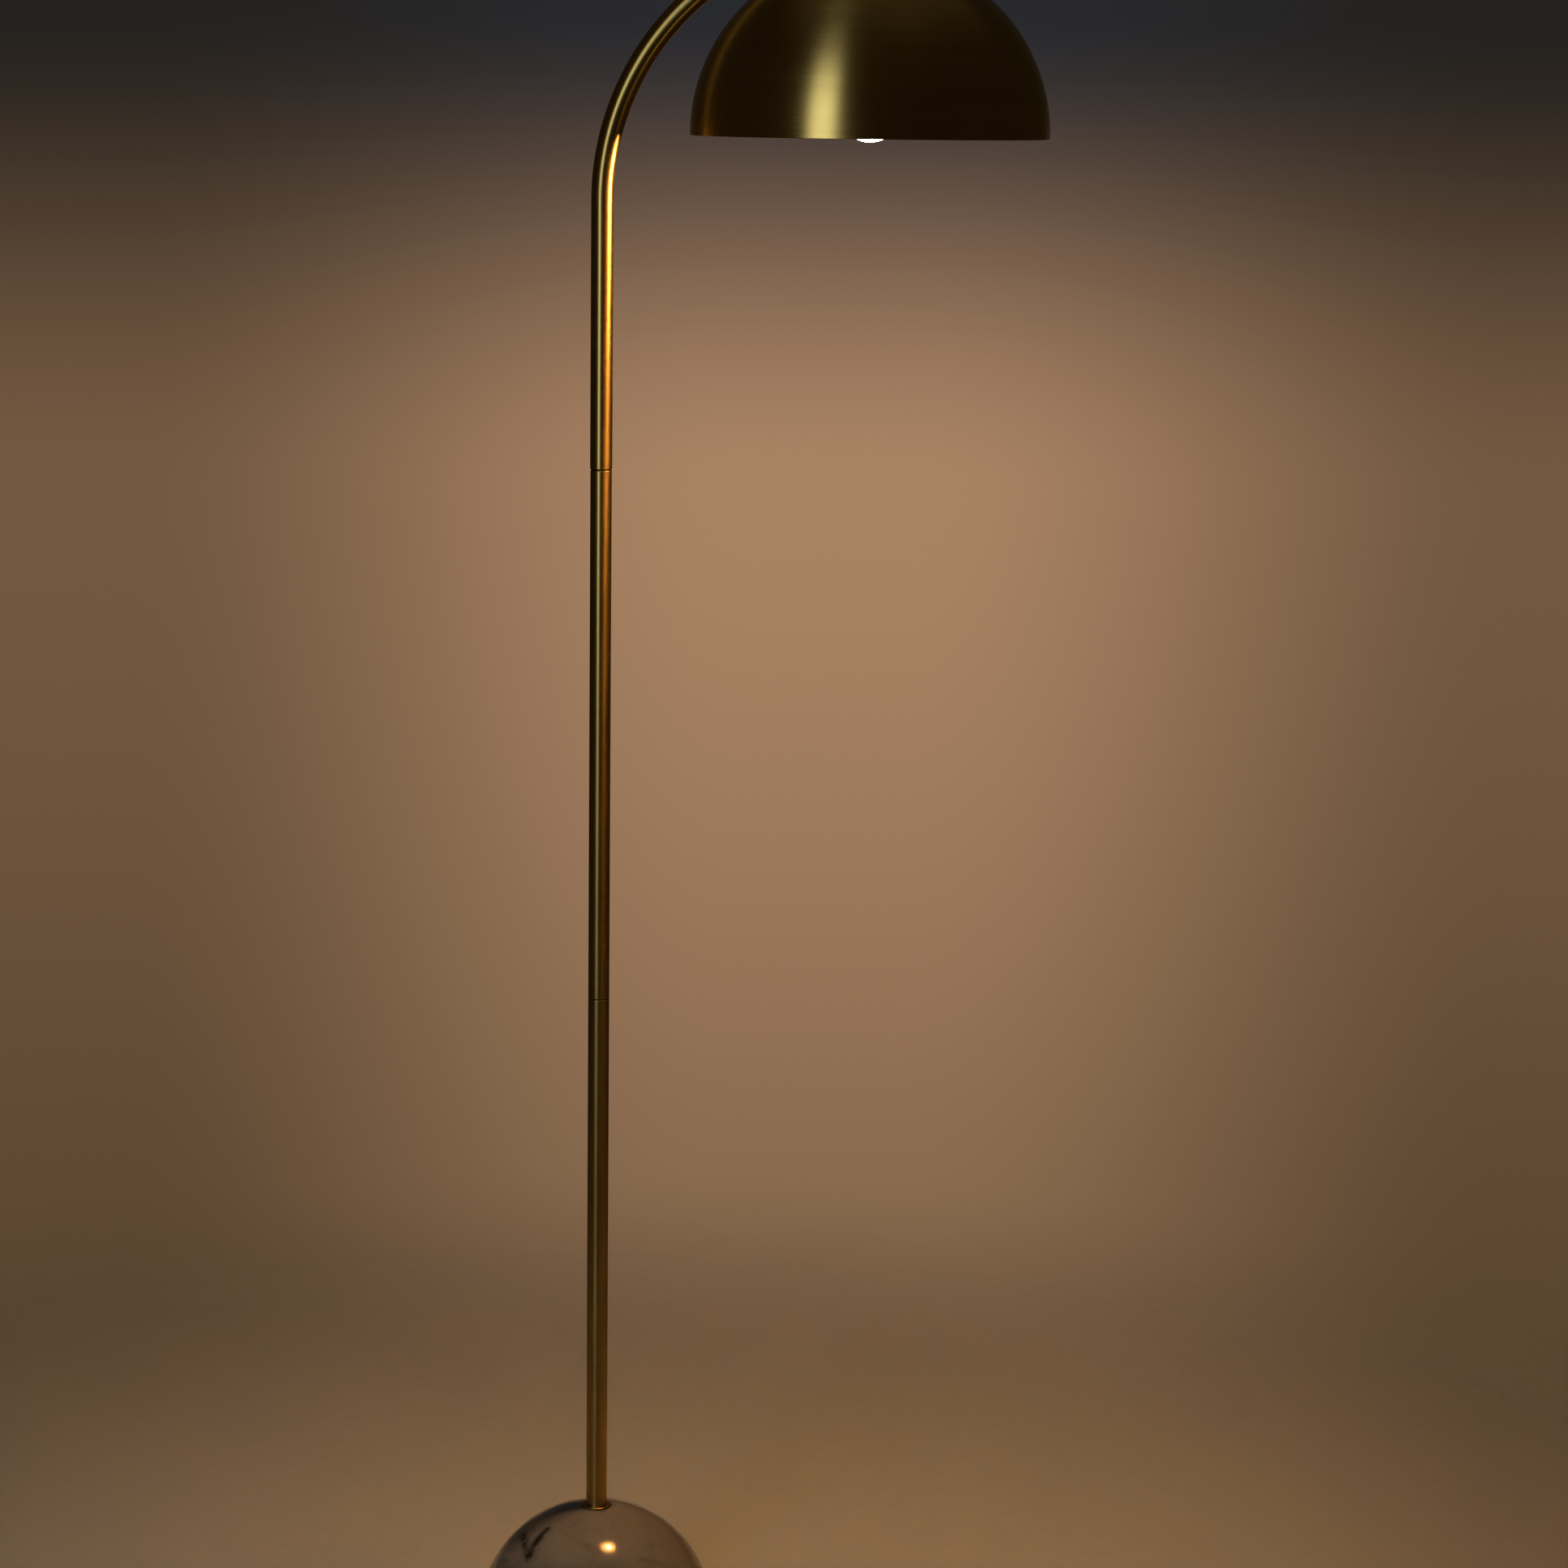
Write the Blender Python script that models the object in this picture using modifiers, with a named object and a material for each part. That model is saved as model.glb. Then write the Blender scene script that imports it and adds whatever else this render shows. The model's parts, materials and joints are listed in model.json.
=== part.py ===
"""Arc floor lamp: a brass post in three lengths, the top one bent through a quarter circle, with a
half-ball shade hanging from its end and a half ball of marble as the base.

Metres, +Z up. The origin is the middle of the face that stands on the floor. The post rises on the
Z axis and the arc reaches towards +X.
"""

import math

import bmesh
import bpy
from mathutils import Vector

# ---------------------------------------------------------------- driving dimensions
FIT_GAP = 0.0003  # between two pieces that touch

# base
PAD_RADIUS = 0.104
PAD_THICKNESS = 0.0025
STONE_RADIUS = 0.114
STONE_SEAT_RADIUS = 0.0155  # flat that the post and its ring stand on
STONE_SEAT_Z = 0.115
STONE_EDGE = 0.003  # chamfer round the foot of the stone
STONE_BORE = 0.0058
RECESS_RADIUS = 0.030
RECESS_DEPTH = 0.024
CHANNEL_WIDTH = 0.009
CHANNEL_HEIGHT = 0.0095

# post and arc
POST_RADIUS = 0.010
POST_WALL = 0.0012
POST_LENGTH = 0.505  # seen length of each of the two straight lengths
ARC_TUBE_RADIUS = 0.0103
ARC_LEG = 0.2477  # straight run of the top length, below its bend
BEND_RADIUS = 0.2455
BEND_SWEEP = math.radians(87)
COLLAR_RADIUS = 0.0143
COLLAR_HEIGHT = 0.0022

# shade
DOME_RADIUS = 0.165
DOME_SKIRT = 0.0015  # upright band between the half ball and its rim
DOME_WALL = 0.001
HEM_WALL = 0.0022  # the rim is folded back on itself
HEM_HEIGHT = 0.003
PIVOT_ABOVE_DOME = 0.0189
BULB_BELOW_RIM = 0.0045

# threaded lamp pipe and the lead inside it
PIPE_RADIUS = 0.005
PIPE_BORE = 0.0035
PIPE_HOLE = 0.0053  # a hole that the pipe passes or screws into
WIRE_HOLE = 0.0028
LEAD_RADIUS = 0.0016

# joints
SWIVEL_SPINDLE = 0.006
PIVOT_SCREW_RADIUS = 0.002
PIVOT_HOLE = 0.0023
EAR_RADIUS = 0.0085
SLOT_HALF = 0.0049
TONGUE_HALF = 0.0038
TONGUE_RADIUS = 0.0080
KNUCKLE_FOOT = 0.0031  # underside of the knuckle, above the top of the dome
KNUCKLE_THREAD = 0.0032  # depth of the thread in it

# lamp bulb, measured from its tip
BULB_RADIUS = 0.030
BULB_NECK = 0.0122
BULB_LENGTH = 0.108
GLASS_WALL = 0.0008

# facets
BIG_SEGMENTS = 40
TUBE_SEGMENTS = 20
SMALL_SEGMENTS = 16
HEX = 6

# ---------------------------------------------------------------- heights worked out from them
COLLAR_TOP = STONE_SEAT_Z + FIT_GAP + COLLAR_HEIGHT
JOINT_Z = COLLAR_TOP + POST_LENGTH
SWIVEL_Z = JOINT_Z + POST_LENGTH
BEND_Z = SWIVEL_Z + ARC_LEG
END_SLOPE = math.pi / 2 - BEND_SWEEP  # how much the arc still rises at its end
FORK_REACH = BEND_RADIUS * math.tan(END_SLOPE)
PIVOT = Vector((BEND_RADIUS, 0, BEND_Z + BEND_RADIUS / math.cos(END_SLOPE)))
DOME_TOP = PIVOT.z - PIVOT_ABOVE_DOME
RIM_Z = DOME_TOP - DOME_RADIUS - DOME_SKIRT
BULB_TIP_Z = RIM_Z - BULB_BELOW_RIM
BULB_TOP_Z = BULB_TIP_Z + BULB_LENGTH
POST_BORE = POST_RADIUS - POST_WALL
PLUG_RADIUS = POST_BORE - FIT_GAP

# ---------------------------------------------------------------- scene and helpers
for old in list(bpy.data.objects):
    bpy.data.objects.remove(old, do_unlink=True)

lamp = bpy.data.collections.new("arc_floor_lamp")
cutters = bpy.data.collections.new("cutters")
bpy.context.scene.collection.children.link(lamp)
bpy.context.scene.collection.children.link(cutters)


def finish(name, color, roughness, metallic, alpha=1.0, glow=0.0):
    """One Principled material."""
    material = bpy.data.materials.new(name)
    material.use_nodes = True
    shader = material.node_tree.nodes["Principled BSDF"]
    shader.inputs["Base Color"].default_value = (*color, 1)
    shader.inputs["Roughness"].default_value = roughness
    shader.inputs["Metallic"].default_value = metallic
    shader.inputs["Alpha"].default_value = alpha
    if glow:
        shader.inputs["Emission Color"].default_value = (*color, 1)
        shader.inputs["Emission Strength"].default_value = glow
    return material


BRASS_COLOR = (0.56, 0.42, 0.19)
STEEL_COLOR = (0.55, 0.55, 0.56)


def brass(name):
    return finish(name, BRASS_COLOR, 0.32, 1.0)


def steel(name):
    return finish(name, STEEL_COLOR, 0.35, 1.0)


def dark_plastic(name):
    return finish(name, (0.02, 0.02, 0.02), 0.45, 0.0)


def keep(obj, material, parent=None, at=(0, 0, 0), turn=(0, 0, 0)):
    """Put a finished piece in the lamp's collection, at a world place, under an unturned empty."""
    for collection in obj.users_collection:
        collection.objects.unlink(obj)
    lamp.objects.link(obj)
    obj.data.materials.clear()
    obj.data.materials.append(material)
    obj.rotation_euler = turn
    obj.location = Vector(at)
    if parent:
        obj.parent = parent
        obj.location = Vector(at) - parent.location
    return obj


def joint_axis(name, at):
    """An empty on a joint's axis, for the pieces that move about it."""
    empty = bpy.data.objects.new(name, None)
    empty.empty_display_size = 0.02
    empty.location = at
    lamp.objects.link(empty)
    return empty


def turned(name, profile, segments):
    """A lathe shape about Z. The profile is (radius, height), down the outer side and back up the
    inner one. One that starts and ends on the axis is solid, any other is a ring."""
    solid = profile[0][0] == 0 and profile[-1][0] == 0
    count = len(profile)
    edges = [(i, i + 1) for i in range(count - 1)]
    if not solid:
        edges.append((count - 1, 0))
    mesh = bpy.data.meshes.new(name)
    mesh.from_pydata([(r, 0, z) for r, z in profile], edges, [])
    obj = bpy.data.objects.new(name, mesh)
    lamp.objects.link(obj)
    screw = obj.modifiers.new("turn", "SCREW")
    screw.axis = "Z"
    screw.steps = segments
    screw.render_steps = segments
    screw.use_merge_vertices = True
    screw.merge_threshold = 0.00001
    screw.use_smooth_shade = True
    return obj


def ring(name, outer, inner, height, segments=SMALL_SEGMENTS):
    """A plain tube or washer that stands on its own origin."""
    profile = [(inner, height), (outer, height), (outer, 0), (inner, 0)]
    return turned(name, profile, segments)


def arc_profile(radius, center_z, start, end, steps, center_r=0.0):
    """Points of a round stretch of a profile. Angles are from straight up, clockwise."""
    points = []
    for i in range(steps + 1):
        angle = start + (end - start) * i / steps
        points.append((center_r + radius * math.sin(angle), center_z + radius * math.cos(angle)))
    return points


def cylinder(name, radius, length, segments=SMALL_SEGMENTS):
    """A solid round bar along Z, with its middle at the origin."""
    mesh = bpy.data.meshes.new(name)
    bm = bmesh.new()
    bmesh.ops.create_cone(
        bm, cap_ends=True, segments=segments, radius1=radius, radius2=radius, depth=length
    )
    bm.to_mesh(mesh)
    bm.free()
    obj = bpy.data.objects.new(name, mesh)
    lamp.objects.link(obj)
    return obj


def box(name, size):
    """A block with its middle at the origin."""
    mesh = bpy.data.meshes.new(name)
    bm = bmesh.new()
    bmesh.ops.create_cube(bm, size=1)
    bmesh.ops.scale(bm, vec=size, verts=bm.verts)
    bm.to_mesh(mesh)
    bm.free()
    obj = bpy.data.objects.new(name, mesh)
    lamp.objects.link(obj)
    return obj


def tool(obj, at, turn=(0, 0, 0)):
    """Make an object a cutter or a joining form, which is left out of the lamp."""
    for collection in obj.users_collection:
        collection.objects.unlink(obj)
    cutters.objects.link(obj)
    obj.location = at
    obj.rotation_euler = turn
    obj.hide_render = True
    obj.display_type = "WIRE"
    return obj


def combine(obj, other, operation):
    """Boolean with the exact solver."""
    modifier = obj.modifiers.new(operation.lower(), "BOOLEAN")
    modifier.operation = operation
    modifier.solver = "EXACT"
    modifier.object = other


def curve_mesh(name, points, radius, bevel_resolution, capped=True):
    """A round bar or an open skin along a path, as a mesh."""
    curve = bpy.data.curves.new(name, "CURVE")
    curve.dimensions = "3D"
    curve.bevel_depth = radius
    curve.bevel_resolution = bevel_resolution
    curve.use_fill_caps = capped
    spline = curve.splines.new("POLY")
    spline.points.add(len(points) - 1)
    for spot, point in zip(spline.points, points):
        spot.co = (*point, 1)
    guide = bpy.data.objects.new(name, curve)
    lamp.objects.link(guide)
    depsgraph = bpy.context.evaluated_depsgraph_get()
    mesh = bpy.data.meshes.new_from_object(guide.evaluated_get(depsgraph))
    bpy.data.objects.remove(guide)
    bm = bmesh.new()
    bm.from_mesh(mesh)
    bmesh.ops.remove_doubles(bm, verts=bm.verts, dist=0.000001)
    bm.to_mesh(mesh)
    bm.free()
    mesh.shade_smooth()
    obj = bpy.data.objects.new(name, mesh)
    lamp.objects.link(obj)
    return obj


def hex_nut(name, across_corners, height, bore):
    """A hexagon nut that stands on its own origin."""
    nut = cylinder(name, across_corners / 2, height, HEX)
    for vertex in nut.data.vertices:
        vertex.co.z += height / 2
    hole = tool(cylinder(name + "_bore", bore, height * 2), (0, 0, 0))
    hole.parent = nut
    combine(nut, hole, "DIFFERENCE")
    return nut


# ---------------------------------------------------------------- base
def make_pad():
    pad = cylinder("floor_pad", PAD_RADIUS, PAD_THICKNESS, BIG_SEGMENTS)
    felt = finish("felt", (0.03, 0.03, 0.03), 0.9, 0.0)
    keep(pad, felt, at=(0, 0, PAD_THICKNESS / 2))


def make_stone():
    """Half a ball with a flat seat on top, a bore, a recess underneath and a channel for the lead."""
    floor_z = PAD_THICKNESS + FIT_GAP
    recess_z = floor_z + RECESS_DEPTH
    seat_angle = math.asin(STONE_SEAT_RADIUS / STONE_RADIUS)
    foot_angle = math.pi / 2 - STONE_EDGE / STONE_RADIUS
    profile = [(STONE_BORE, STONE_SEAT_Z), (STONE_SEAT_RADIUS, STONE_SEAT_Z)]
    profile += arc_profile(STONE_RADIUS, floor_z, seat_angle, foot_angle, 12)
    profile += [
        (STONE_RADIUS - STONE_EDGE, floor_z),
        (RECESS_RADIUS, floor_z),
        (RECESS_RADIUS, recess_z),
        (STONE_BORE, recess_z),
    ]
    stone = turned("marble_base", profile, BIG_SEGMENTS)
    channel = box("lead_channel", (CHANNEL_WIDTH, STONE_RADIUS, CHANNEL_HEIGHT * 2))
    tool(channel, (0, RECESS_RADIUS / 2 + STONE_RADIUS / 2, floor_z))
    combine(stone, channel, "DIFFERENCE")
    keep(stone, finish("marble", (0.42, 0.40, 0.38), 0.15, 0.0))
    return recess_z


def make_clamp(recess_z):
    """Tie rod, washers and nut that hold the stone and the post together."""
    washer_z = recess_z - FIT_GAP - 0.0025
    keep(ring("clamp_washer", 0.024, 0.0055, 0.0025, TUBE_SEGMENTS), steel("zinc"), at=(0, 0, washer_z))
    spring_z = washer_z - FIT_GAP - 0.0016
    keep(ring("lock_washer", 0.009, 0.0055, 0.0016), steel("spring_steel"), at=(0, 0, spring_z))
    nut_z = spring_z - FIT_GAP - 0.005
    keep(hex_nut("base_nut", 0.0162, 0.005, PIPE_HOLE), steel("nut_steel"), at=(0, 0, nut_z))
    rod_z = nut_z - 0.002
    rod_length = STONE_SEAT_Z + 0.018 - rod_z
    keep(ring("tie_rod", PIPE_RADIUS, PIPE_BORE, rod_length), steel("pipe_steel"), at=(0, 0, rod_z))


def make_grommet():
    """Rubber gland that stands 2 mm out of the back of the stone."""
    head = 0.0022
    neck = 0.014
    profile = [
        (0.0022, neck + head),
        (0.0034, neck + head),
        (0.0040, neck),
        (0.0040, 0),
        (0.0022, 0),
    ]
    gland = turned("cord_grommet", profile, SMALL_SEGMENTS)
    channel_middle = PAD_THICKNESS + FIT_GAP + CHANNEL_HEIGHT / 2
    place = (0, STONE_RADIUS - neck, channel_middle)
    keep(gland, dark_plastic("grommet_rubber"), at=place, turn=(-math.pi / 2, 0, 0))


def make_foot():
    """Ring, plug and lower length of the post."""
    seat = STONE_SEAT_Z + FIT_GAP
    round_edge = COLLAR_HEIGHT / 2
    inner = POST_RADIUS + FIT_GAP
    profile = [(inner, COLLAR_HEIGHT)]
    profile += arc_profile(round_edge, round_edge, 0, math.pi, 4, COLLAR_RADIUS - round_edge)
    profile += [(inner, 0)]
    keep(turned("foot_collar", profile, BIG_SEGMENTS), brass("collar_brass"), at=(0, 0, seat))
    keep(ring("foot_coupler", PLUG_RADIUS, PIPE_HOLE, 0.025), brass("plug_brass"), at=(0, 0, seat))
    gap_half = 0.0002
    length = JOINT_Z - gap_half - seat
    post = ring("lower_post", POST_RADIUS, POST_BORE, length, TUBE_SEGMENTS)
    keep(post, brass("lower_post_brass"), at=(0, 0, seat))


# ---------------------------------------------------------------- middle of the post
def make_post_joint():
    """Threaded insert in the lower length, threaded stud in the middle length."""
    depth = 0.020
    below = JOINT_Z - 0.0006
    insert = ring("joint_socket", PLUG_RADIUS, PIPE_HOLE, depth)
    keep(insert, brass("insert_brass"), at=(0, 0, below - depth))
    plug = 0.016
    stud = 0.014
    profile = [
        (WIRE_HOLE, plug),
        (PLUG_RADIUS, plug),
        (PLUG_RADIUS, 0),
        (PIPE_RADIUS, 0),
        (PIPE_RADIUS, -stud),
        (WIRE_HOLE, -stud),
    ]
    joint_stud = turned("joint_stud", profile, SMALL_SEGMENTS)
    keep(joint_stud, brass("stud_brass"), at=(0, 0, JOINT_Z + 0.0002))


def make_middle_post():
    gap_half = 0.0002
    top = SWIVEL_Z - 0.0012
    start = JOINT_Z + gap_half
    post = ring("middle_post", POST_RADIUS, POST_BORE, top - start, TUBE_SEGMENTS)
    keep(post, brass("middle_post_brass"), at=(0, 0, start))
    plug = 0.020
    spindle = 0.0365
    profile = [
        (WIRE_HOLE, spindle),
        (SWIVEL_SPINDLE, spindle),
        (SWIVEL_SPINDLE, 0),
        (PLUG_RADIUS, 0),
        (PLUG_RADIUS, -plug),
        (WIRE_HOLE, -plug),
    ]
    spigot = turned("swivel_spigot", profile, SMALL_SEGMENTS)
    keep(spigot, brass("spigot_brass"), at=(0, 0, top))
    washer = ring("swivel_washer", 0.0096, SWIVEL_SPINDLE + FIT_GAP, 0.0006, TUBE_SEGMENTS)
    keep(washer, dark_plastic("swivel_nylon"), at=(0, 0, top + FIT_GAP))
    clip = ring("swivel_clip", 0.0082, SWIVEL_SPINDLE + FIT_GAP, 0.001)
    keep(clip, steel("clip_steel"), at=(0, 0, SWIVEL_Z + 0.0283))


# ---------------------------------------------------------------- arc
def bend_points(steps):
    """Points along the middle of the arc's bend, from its foot to its end."""
    points = []
    for i in range(steps + 1):
        angle = BEND_SWEEP * i / steps
        x = BEND_RADIUS * (1 - math.cos(angle))
        points.append((x, 0, BEND_Z + BEND_RADIUS * math.sin(angle)))
    return points


def fork_frame(back, side=0.0, up=0.0):
    """World place of a point given from the pivot: back along the arc's end, sideways and up."""
    cos_slope, sin_slope = math.cos(END_SLOPE), math.sin(END_SLOPE)
    x = PIVOT.x - back * cos_slope - up * sin_slope
    z = PIVOT.z - back * sin_slope + up * cos_slope
    return (x, side, z)


def make_arc_tube(axis, grub_hole):
    """The bent top length. Its skin is drawn along the arc and given its wall inwards."""
    path = [(0, 0, SWIVEL_Z)] + bend_points(22)
    around = (TUBE_SEGMENTS - 4) // 2
    tube = curve_mesh("arc_tube", path, ARC_TUBE_RADIUS, around, capped=False)
    wall = tube.modifiers.new("wall", "SOLIDIFY")
    wall.thickness = POST_WALL
    wall.offset = -1
    wall.use_even_offset = True
    combine(tube, grub_hole, "DIFFERENCE")
    origin = Vector((0, 0, SWIVEL_Z))
    for vertex in tube.data.vertices:
        vertex.co -= origin
    keep(tube, brass("arc_brass"), axis, origin)
    bush = ring("swivel_bush", PLUG_RADIUS + FIT_GAP, SWIVEL_SPINDLE + FIT_GAP, 0.028)
    keep(bush, dark_plastic("bush_nylon"), axis, origin)


def make_fork(axis, grub_hole):
    """Forked plug in the end of the arc, with a slot for the knuckle and a hole for the lead."""
    spigot = 0.008
    shoulder = 0.0018
    tilt = (0, math.pi / 2 - END_SLOPE, 0)
    side = bpy.data.curves.new("fork_side", "CURVE")
    side.dimensions = "2D"
    side.fill_mode = "BOTH"
    side.extrude = ARC_TUBE_RADIUS
    outline = side.splines.new("POLY")
    outline.use_cyclic_u = True
    back = FORK_REACH + spigot
    corners = [(-back, -EAR_RADIUS)]
    for i in range(13):
        angle = -math.pi / 2 + math.pi * i / 12
        corners.append((EAR_RADIUS * math.cos(angle), EAR_RADIUS * math.sin(angle)))
    corners.append((-back, EAR_RADIUS))
    outline.points.add(len(corners) - 1)
    for spot, (x, y) in zip(outline.points, corners):
        spot.co = (x, y, 0, 1)
    guide = bpy.data.objects.new("fork_side", side)
    lamp.objects.link(guide)
    depsgraph = bpy.context.evaluated_depsgraph_get()
    mesh = bpy.data.meshes.new_from_object(guide.evaluated_get(depsgraph))
    bpy.data.objects.remove(guide)
    bm = bmesh.new()
    bm.from_mesh(mesh)
    bmesh.ops.remove_doubles(bm, verts=bm.verts, dist=0.000001)
    bmesh.ops.recalc_face_normals(bm, faces=bm.faces)
    bm.to_mesh(mesh)
    bm.free()
    fork = bpy.data.objects.new("arc_end_fork", mesh)
    lamp.objects.link(fork)
    keep(fork, brass("fork_brass"), axis, PIVOT, (math.pi / 2, -END_SLOPE, 0))

    bar_length = back + EAR_RADIUS
    middle = fork_frame(back - bar_length / 2)
    combine(fork, tool(cylinder("fork_bar", EAR_RADIUS, bar_length, TUBE_SEGMENTS), middle, tilt), "INTERSECT")
    lip = cylinder("fork_lip", ARC_TUBE_RADIUS, shoulder, TUBE_SEGMENTS)
    lip_gap = 0.0005  # the tube's last ring is square to its last facet, not to the arc
    combine(fork, tool(lip, fork_frame(FORK_REACH - lip_gap - shoulder / 2), tilt), "UNION")
    slot_root = 0.0092
    slot = box("fork_slot", (slot_root * 2, SLOT_HALF * 2, ARC_TUBE_RADIUS * 3))
    combine(fork, tool(slot, fork_frame(0), (0, -END_SLOPE, 0)), "DIFFERENCE")
    along_y = (math.pi / 2, 0, 0)
    screw_hole = tool(cylinder("fork_hole", PIVOT_HOLE, ARC_TUBE_RADIUS * 3), PIVOT, along_y)
    combine(fork, screw_hole, "DIFFERENCE")
    flat_at = 0.008
    for sign in (-1, 1):
        flat = cylinder("fork_flat", 0.0052, 0.004)
        tool(flat, PIVOT + Vector((0, sign * (flat_at + 0.002), 0)), along_y)
        combine(fork, flat, "DIFFERENCE")
    bore = cylinder("fork_bore", 0.0024, 0.030)
    combine(fork, tool(bore, fork_frame(back), tilt), "DIFFERENCE")
    combine(fork, grub_hole, "DIFFERENCE")
    return flat_at


def make_arc():
    """Everything that turns with the arc."""
    axis = joint_axis("arc_swivel_axis", (0, 0, SWIVEL_Z))
    along_y = (math.pi / 2, 0, 0)
    screw_back = FORK_REACH + 0.0055
    hole_at = fork_frame(screw_back, 0.0088)
    grub_hole = tool(cylinder("grub_hole", 0.0018, 0.008, SMALL_SEGMENTS), hole_at, along_y)
    make_arc_tube(axis, grub_hole)
    flat_at = make_fork(axis, grub_hole)
    grub = cylinder("fork_grub_screw", 0.0015, 0.0045)
    keep(grub, steel("grub_steel"), axis, fork_frame(screw_back, 0.0078), along_y)

    washer_at = TONGUE_HALF + FIT_GAP
    for name, y in (("friction_washer_front", -washer_at), ("friction_washer_rear", washer_at + 0.0005)):
        washer = ring(name, 0.0075, PIVOT_HOLE, 0.0005)
        keep(washer, dark_plastic(name + "_fibre"), axis, PIVOT + Vector((0, y, 0)), along_y)
    head = 0.002
    reach = flat_at + FIT_GAP
    profile = [
        (0, reach + head),
        (0.0042, reach + head),
        (0.0045, reach),
        (PIVOT_SCREW_RADIUS, reach),
        (PIVOT_SCREW_RADIUS, -reach - 0.0022),
        (0, -reach - 0.0022),
    ]
    keep(turned("pivot_screw", profile, SMALL_SEGMENTS), brass("screw_brass"), axis, PIVOT, along_y)
    nut_height = 0.0035
    nut = hex_nut("pivot_nut", 0.0086, nut_height, PIVOT_HOLE)
    keep(nut, brass("nut_brass"), axis, PIVOT + Vector((0, reach + nut_height, 0)), along_y)
    return axis


# ---------------------------------------------------------------- shade
def make_knuckle(axis):
    """Tongue between the fork's ears, with a round foot that the shade screws to."""
    foot_bottom = KNUCKLE_FOOT - PIVOT_ABOVE_DOME
    foot_top = foot_bottom + 0.0042
    foot_radius = 0.0075
    foot_height = foot_top - foot_bottom
    knuckle = cylinder("shade_knuckle", foot_radius, foot_height, TUBE_SEGMENTS)
    for vertex in knuckle.data.vertices:
        vertex.co.z += foot_bottom + foot_height / 2
    keep(knuckle, brass("knuckle_brass"), axis, PIVOT)
    along_y = (math.pi / 2, 0, 0)
    eye = tool(cylinder("tongue_eye", TONGUE_RADIUS, TONGUE_HALF * 2, TUBE_SEGMENTS), PIVOT, along_y)
    neck = box("tongue_neck", (0.012, TONGUE_HALF * 2 - 0.0002, -foot_bottom - 0.001))
    tool(neck, PIVOT + Vector((0, 0, (foot_bottom + 0.001) / 2)))
    combine(knuckle, eye, "UNION")
    combine(knuckle, neck, "UNION")
    hole = tool(cylinder("tongue_hole", PIVOT_HOLE, TONGUE_HALF * 4), PIVOT, along_y)
    combine(knuckle, hole, "DIFFERENCE")
    thread_form = cylinder("tongue_thread", PIPE_HOLE, KNUCKLE_THREAD * 2)
    thread = tool(thread_form, PIVOT + Vector((0, 0, foot_bottom)))
    combine(knuckle, thread, "DIFFERENCE")
    down = tool(cylinder("tongue_bore", 0.0024, 0.010), PIVOT + Vector((0, 0, -0.0068 - 0.005)))
    combine(knuckle, down, "DIFFERENCE")
    window_start = Vector((-0.0095, 0, 0.0010))
    window_end = Vector((0, 0, -0.0075))
    window_axis = window_end - window_start
    slant = window_axis.to_track_quat("Z", "Y").to_euler()
    reach = window_axis.length + 0.004
    middle = PIVOT + window_start + window_axis.normalized() * (reach / 2 - 0.004)
    window = tool(cylinder("tongue_window", 0.0021, reach), middle, slant)
    combine(knuckle, window, "DIFFERENCE")


def make_dome(axis):
    """Spun half ball with a folded rim and a hole at the top for the threaded pipe."""
    inner = DOME_RADIUS - DOME_WALL
    hole_outer = math.asin(PIPE_HOLE / DOME_RADIUS)
    hole_inner = math.asin(PIPE_HOLE / inner)
    quarter = math.pi / 2
    profile = arc_profile(DOME_RADIUS, 0, hole_outer, quarter, 12)
    profile += [
        (DOME_RADIUS, -DOME_SKIRT),
        (DOME_RADIUS - HEM_WALL, -DOME_SKIRT),
        (DOME_RADIUS - HEM_WALL, HEM_HEIGHT - DOME_SKIRT),
    ]
    hem_angle = quarter - (HEM_HEIGHT - DOME_SKIRT + 0.0012) / inner
    profile += arc_profile(inner, 0, hem_angle, hole_inner, 12)
    dome = turned("dome_shade", profile, BIG_SEGMENTS)
    keep(dome, brass("dome_brass"), axis, (PIVOT.x, 0, DOME_TOP - DOME_RADIUS))


def make_shade_fastening(axis):
    """Cap, pipe, washer, nut and spacer that hold the dome and the lampholder together."""
    edge = 0.014
    drop = DOME_RADIUS - math.sqrt(DOME_RADIUS**2 - edge**2)
    profile = [(PIPE_HOLE, 0.0025), (0.0105, 0.0025), (0.0130, 0.0018)]
    profile += [(edge, 0.0005 - drop), (edge, -drop), (PIPE_HOLE, 0)]
    cap = turned("shade_cap", profile, TUBE_SEGMENTS)
    keep(cap, brass("cap_brass"), axis, (PIVOT.x, 0, DOME_TOP + FIT_GAP))
    washer_z = DOME_TOP - 0.0028
    washer = ring("shade_washer", 0.011, PIPE_HOLE, 0.001, TUBE_SEGMENTS)
    keep(washer, steel("washer_steel"), axis, (PIVOT.x, 0, washer_z))
    nut_z = washer_z - FIT_GAP - 0.004
    keep(hex_nut("shade_nut", 0.0162, 0.004, PIPE_HOLE), brass("shade_nut_brass"), axis, (PIVOT.x, 0, nut_z))
    neck_top = BULB_TOP_Z + 0.0390
    spacer_z = neck_top + FIT_GAP
    spacer = ring("nipple_spacer", 0.007, PIPE_HOLE, nut_z - FIT_GAP - spacer_z)
    keep(spacer, brass("spacer_brass"), axis, (PIVOT.x, 0, spacer_z))
    pipe_z = neck_top - 0.0055
    pipe_top = DOME_TOP + KNUCKLE_FOOT + KNUCKLE_THREAD - FIT_GAP
    pipe = ring("shade_nipple", PIPE_RADIUS, PIPE_BORE, pipe_top - pipe_z)
    keep(pipe, steel("nipple_steel"), axis, (PIVOT.x, 0, pipe_z))


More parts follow.
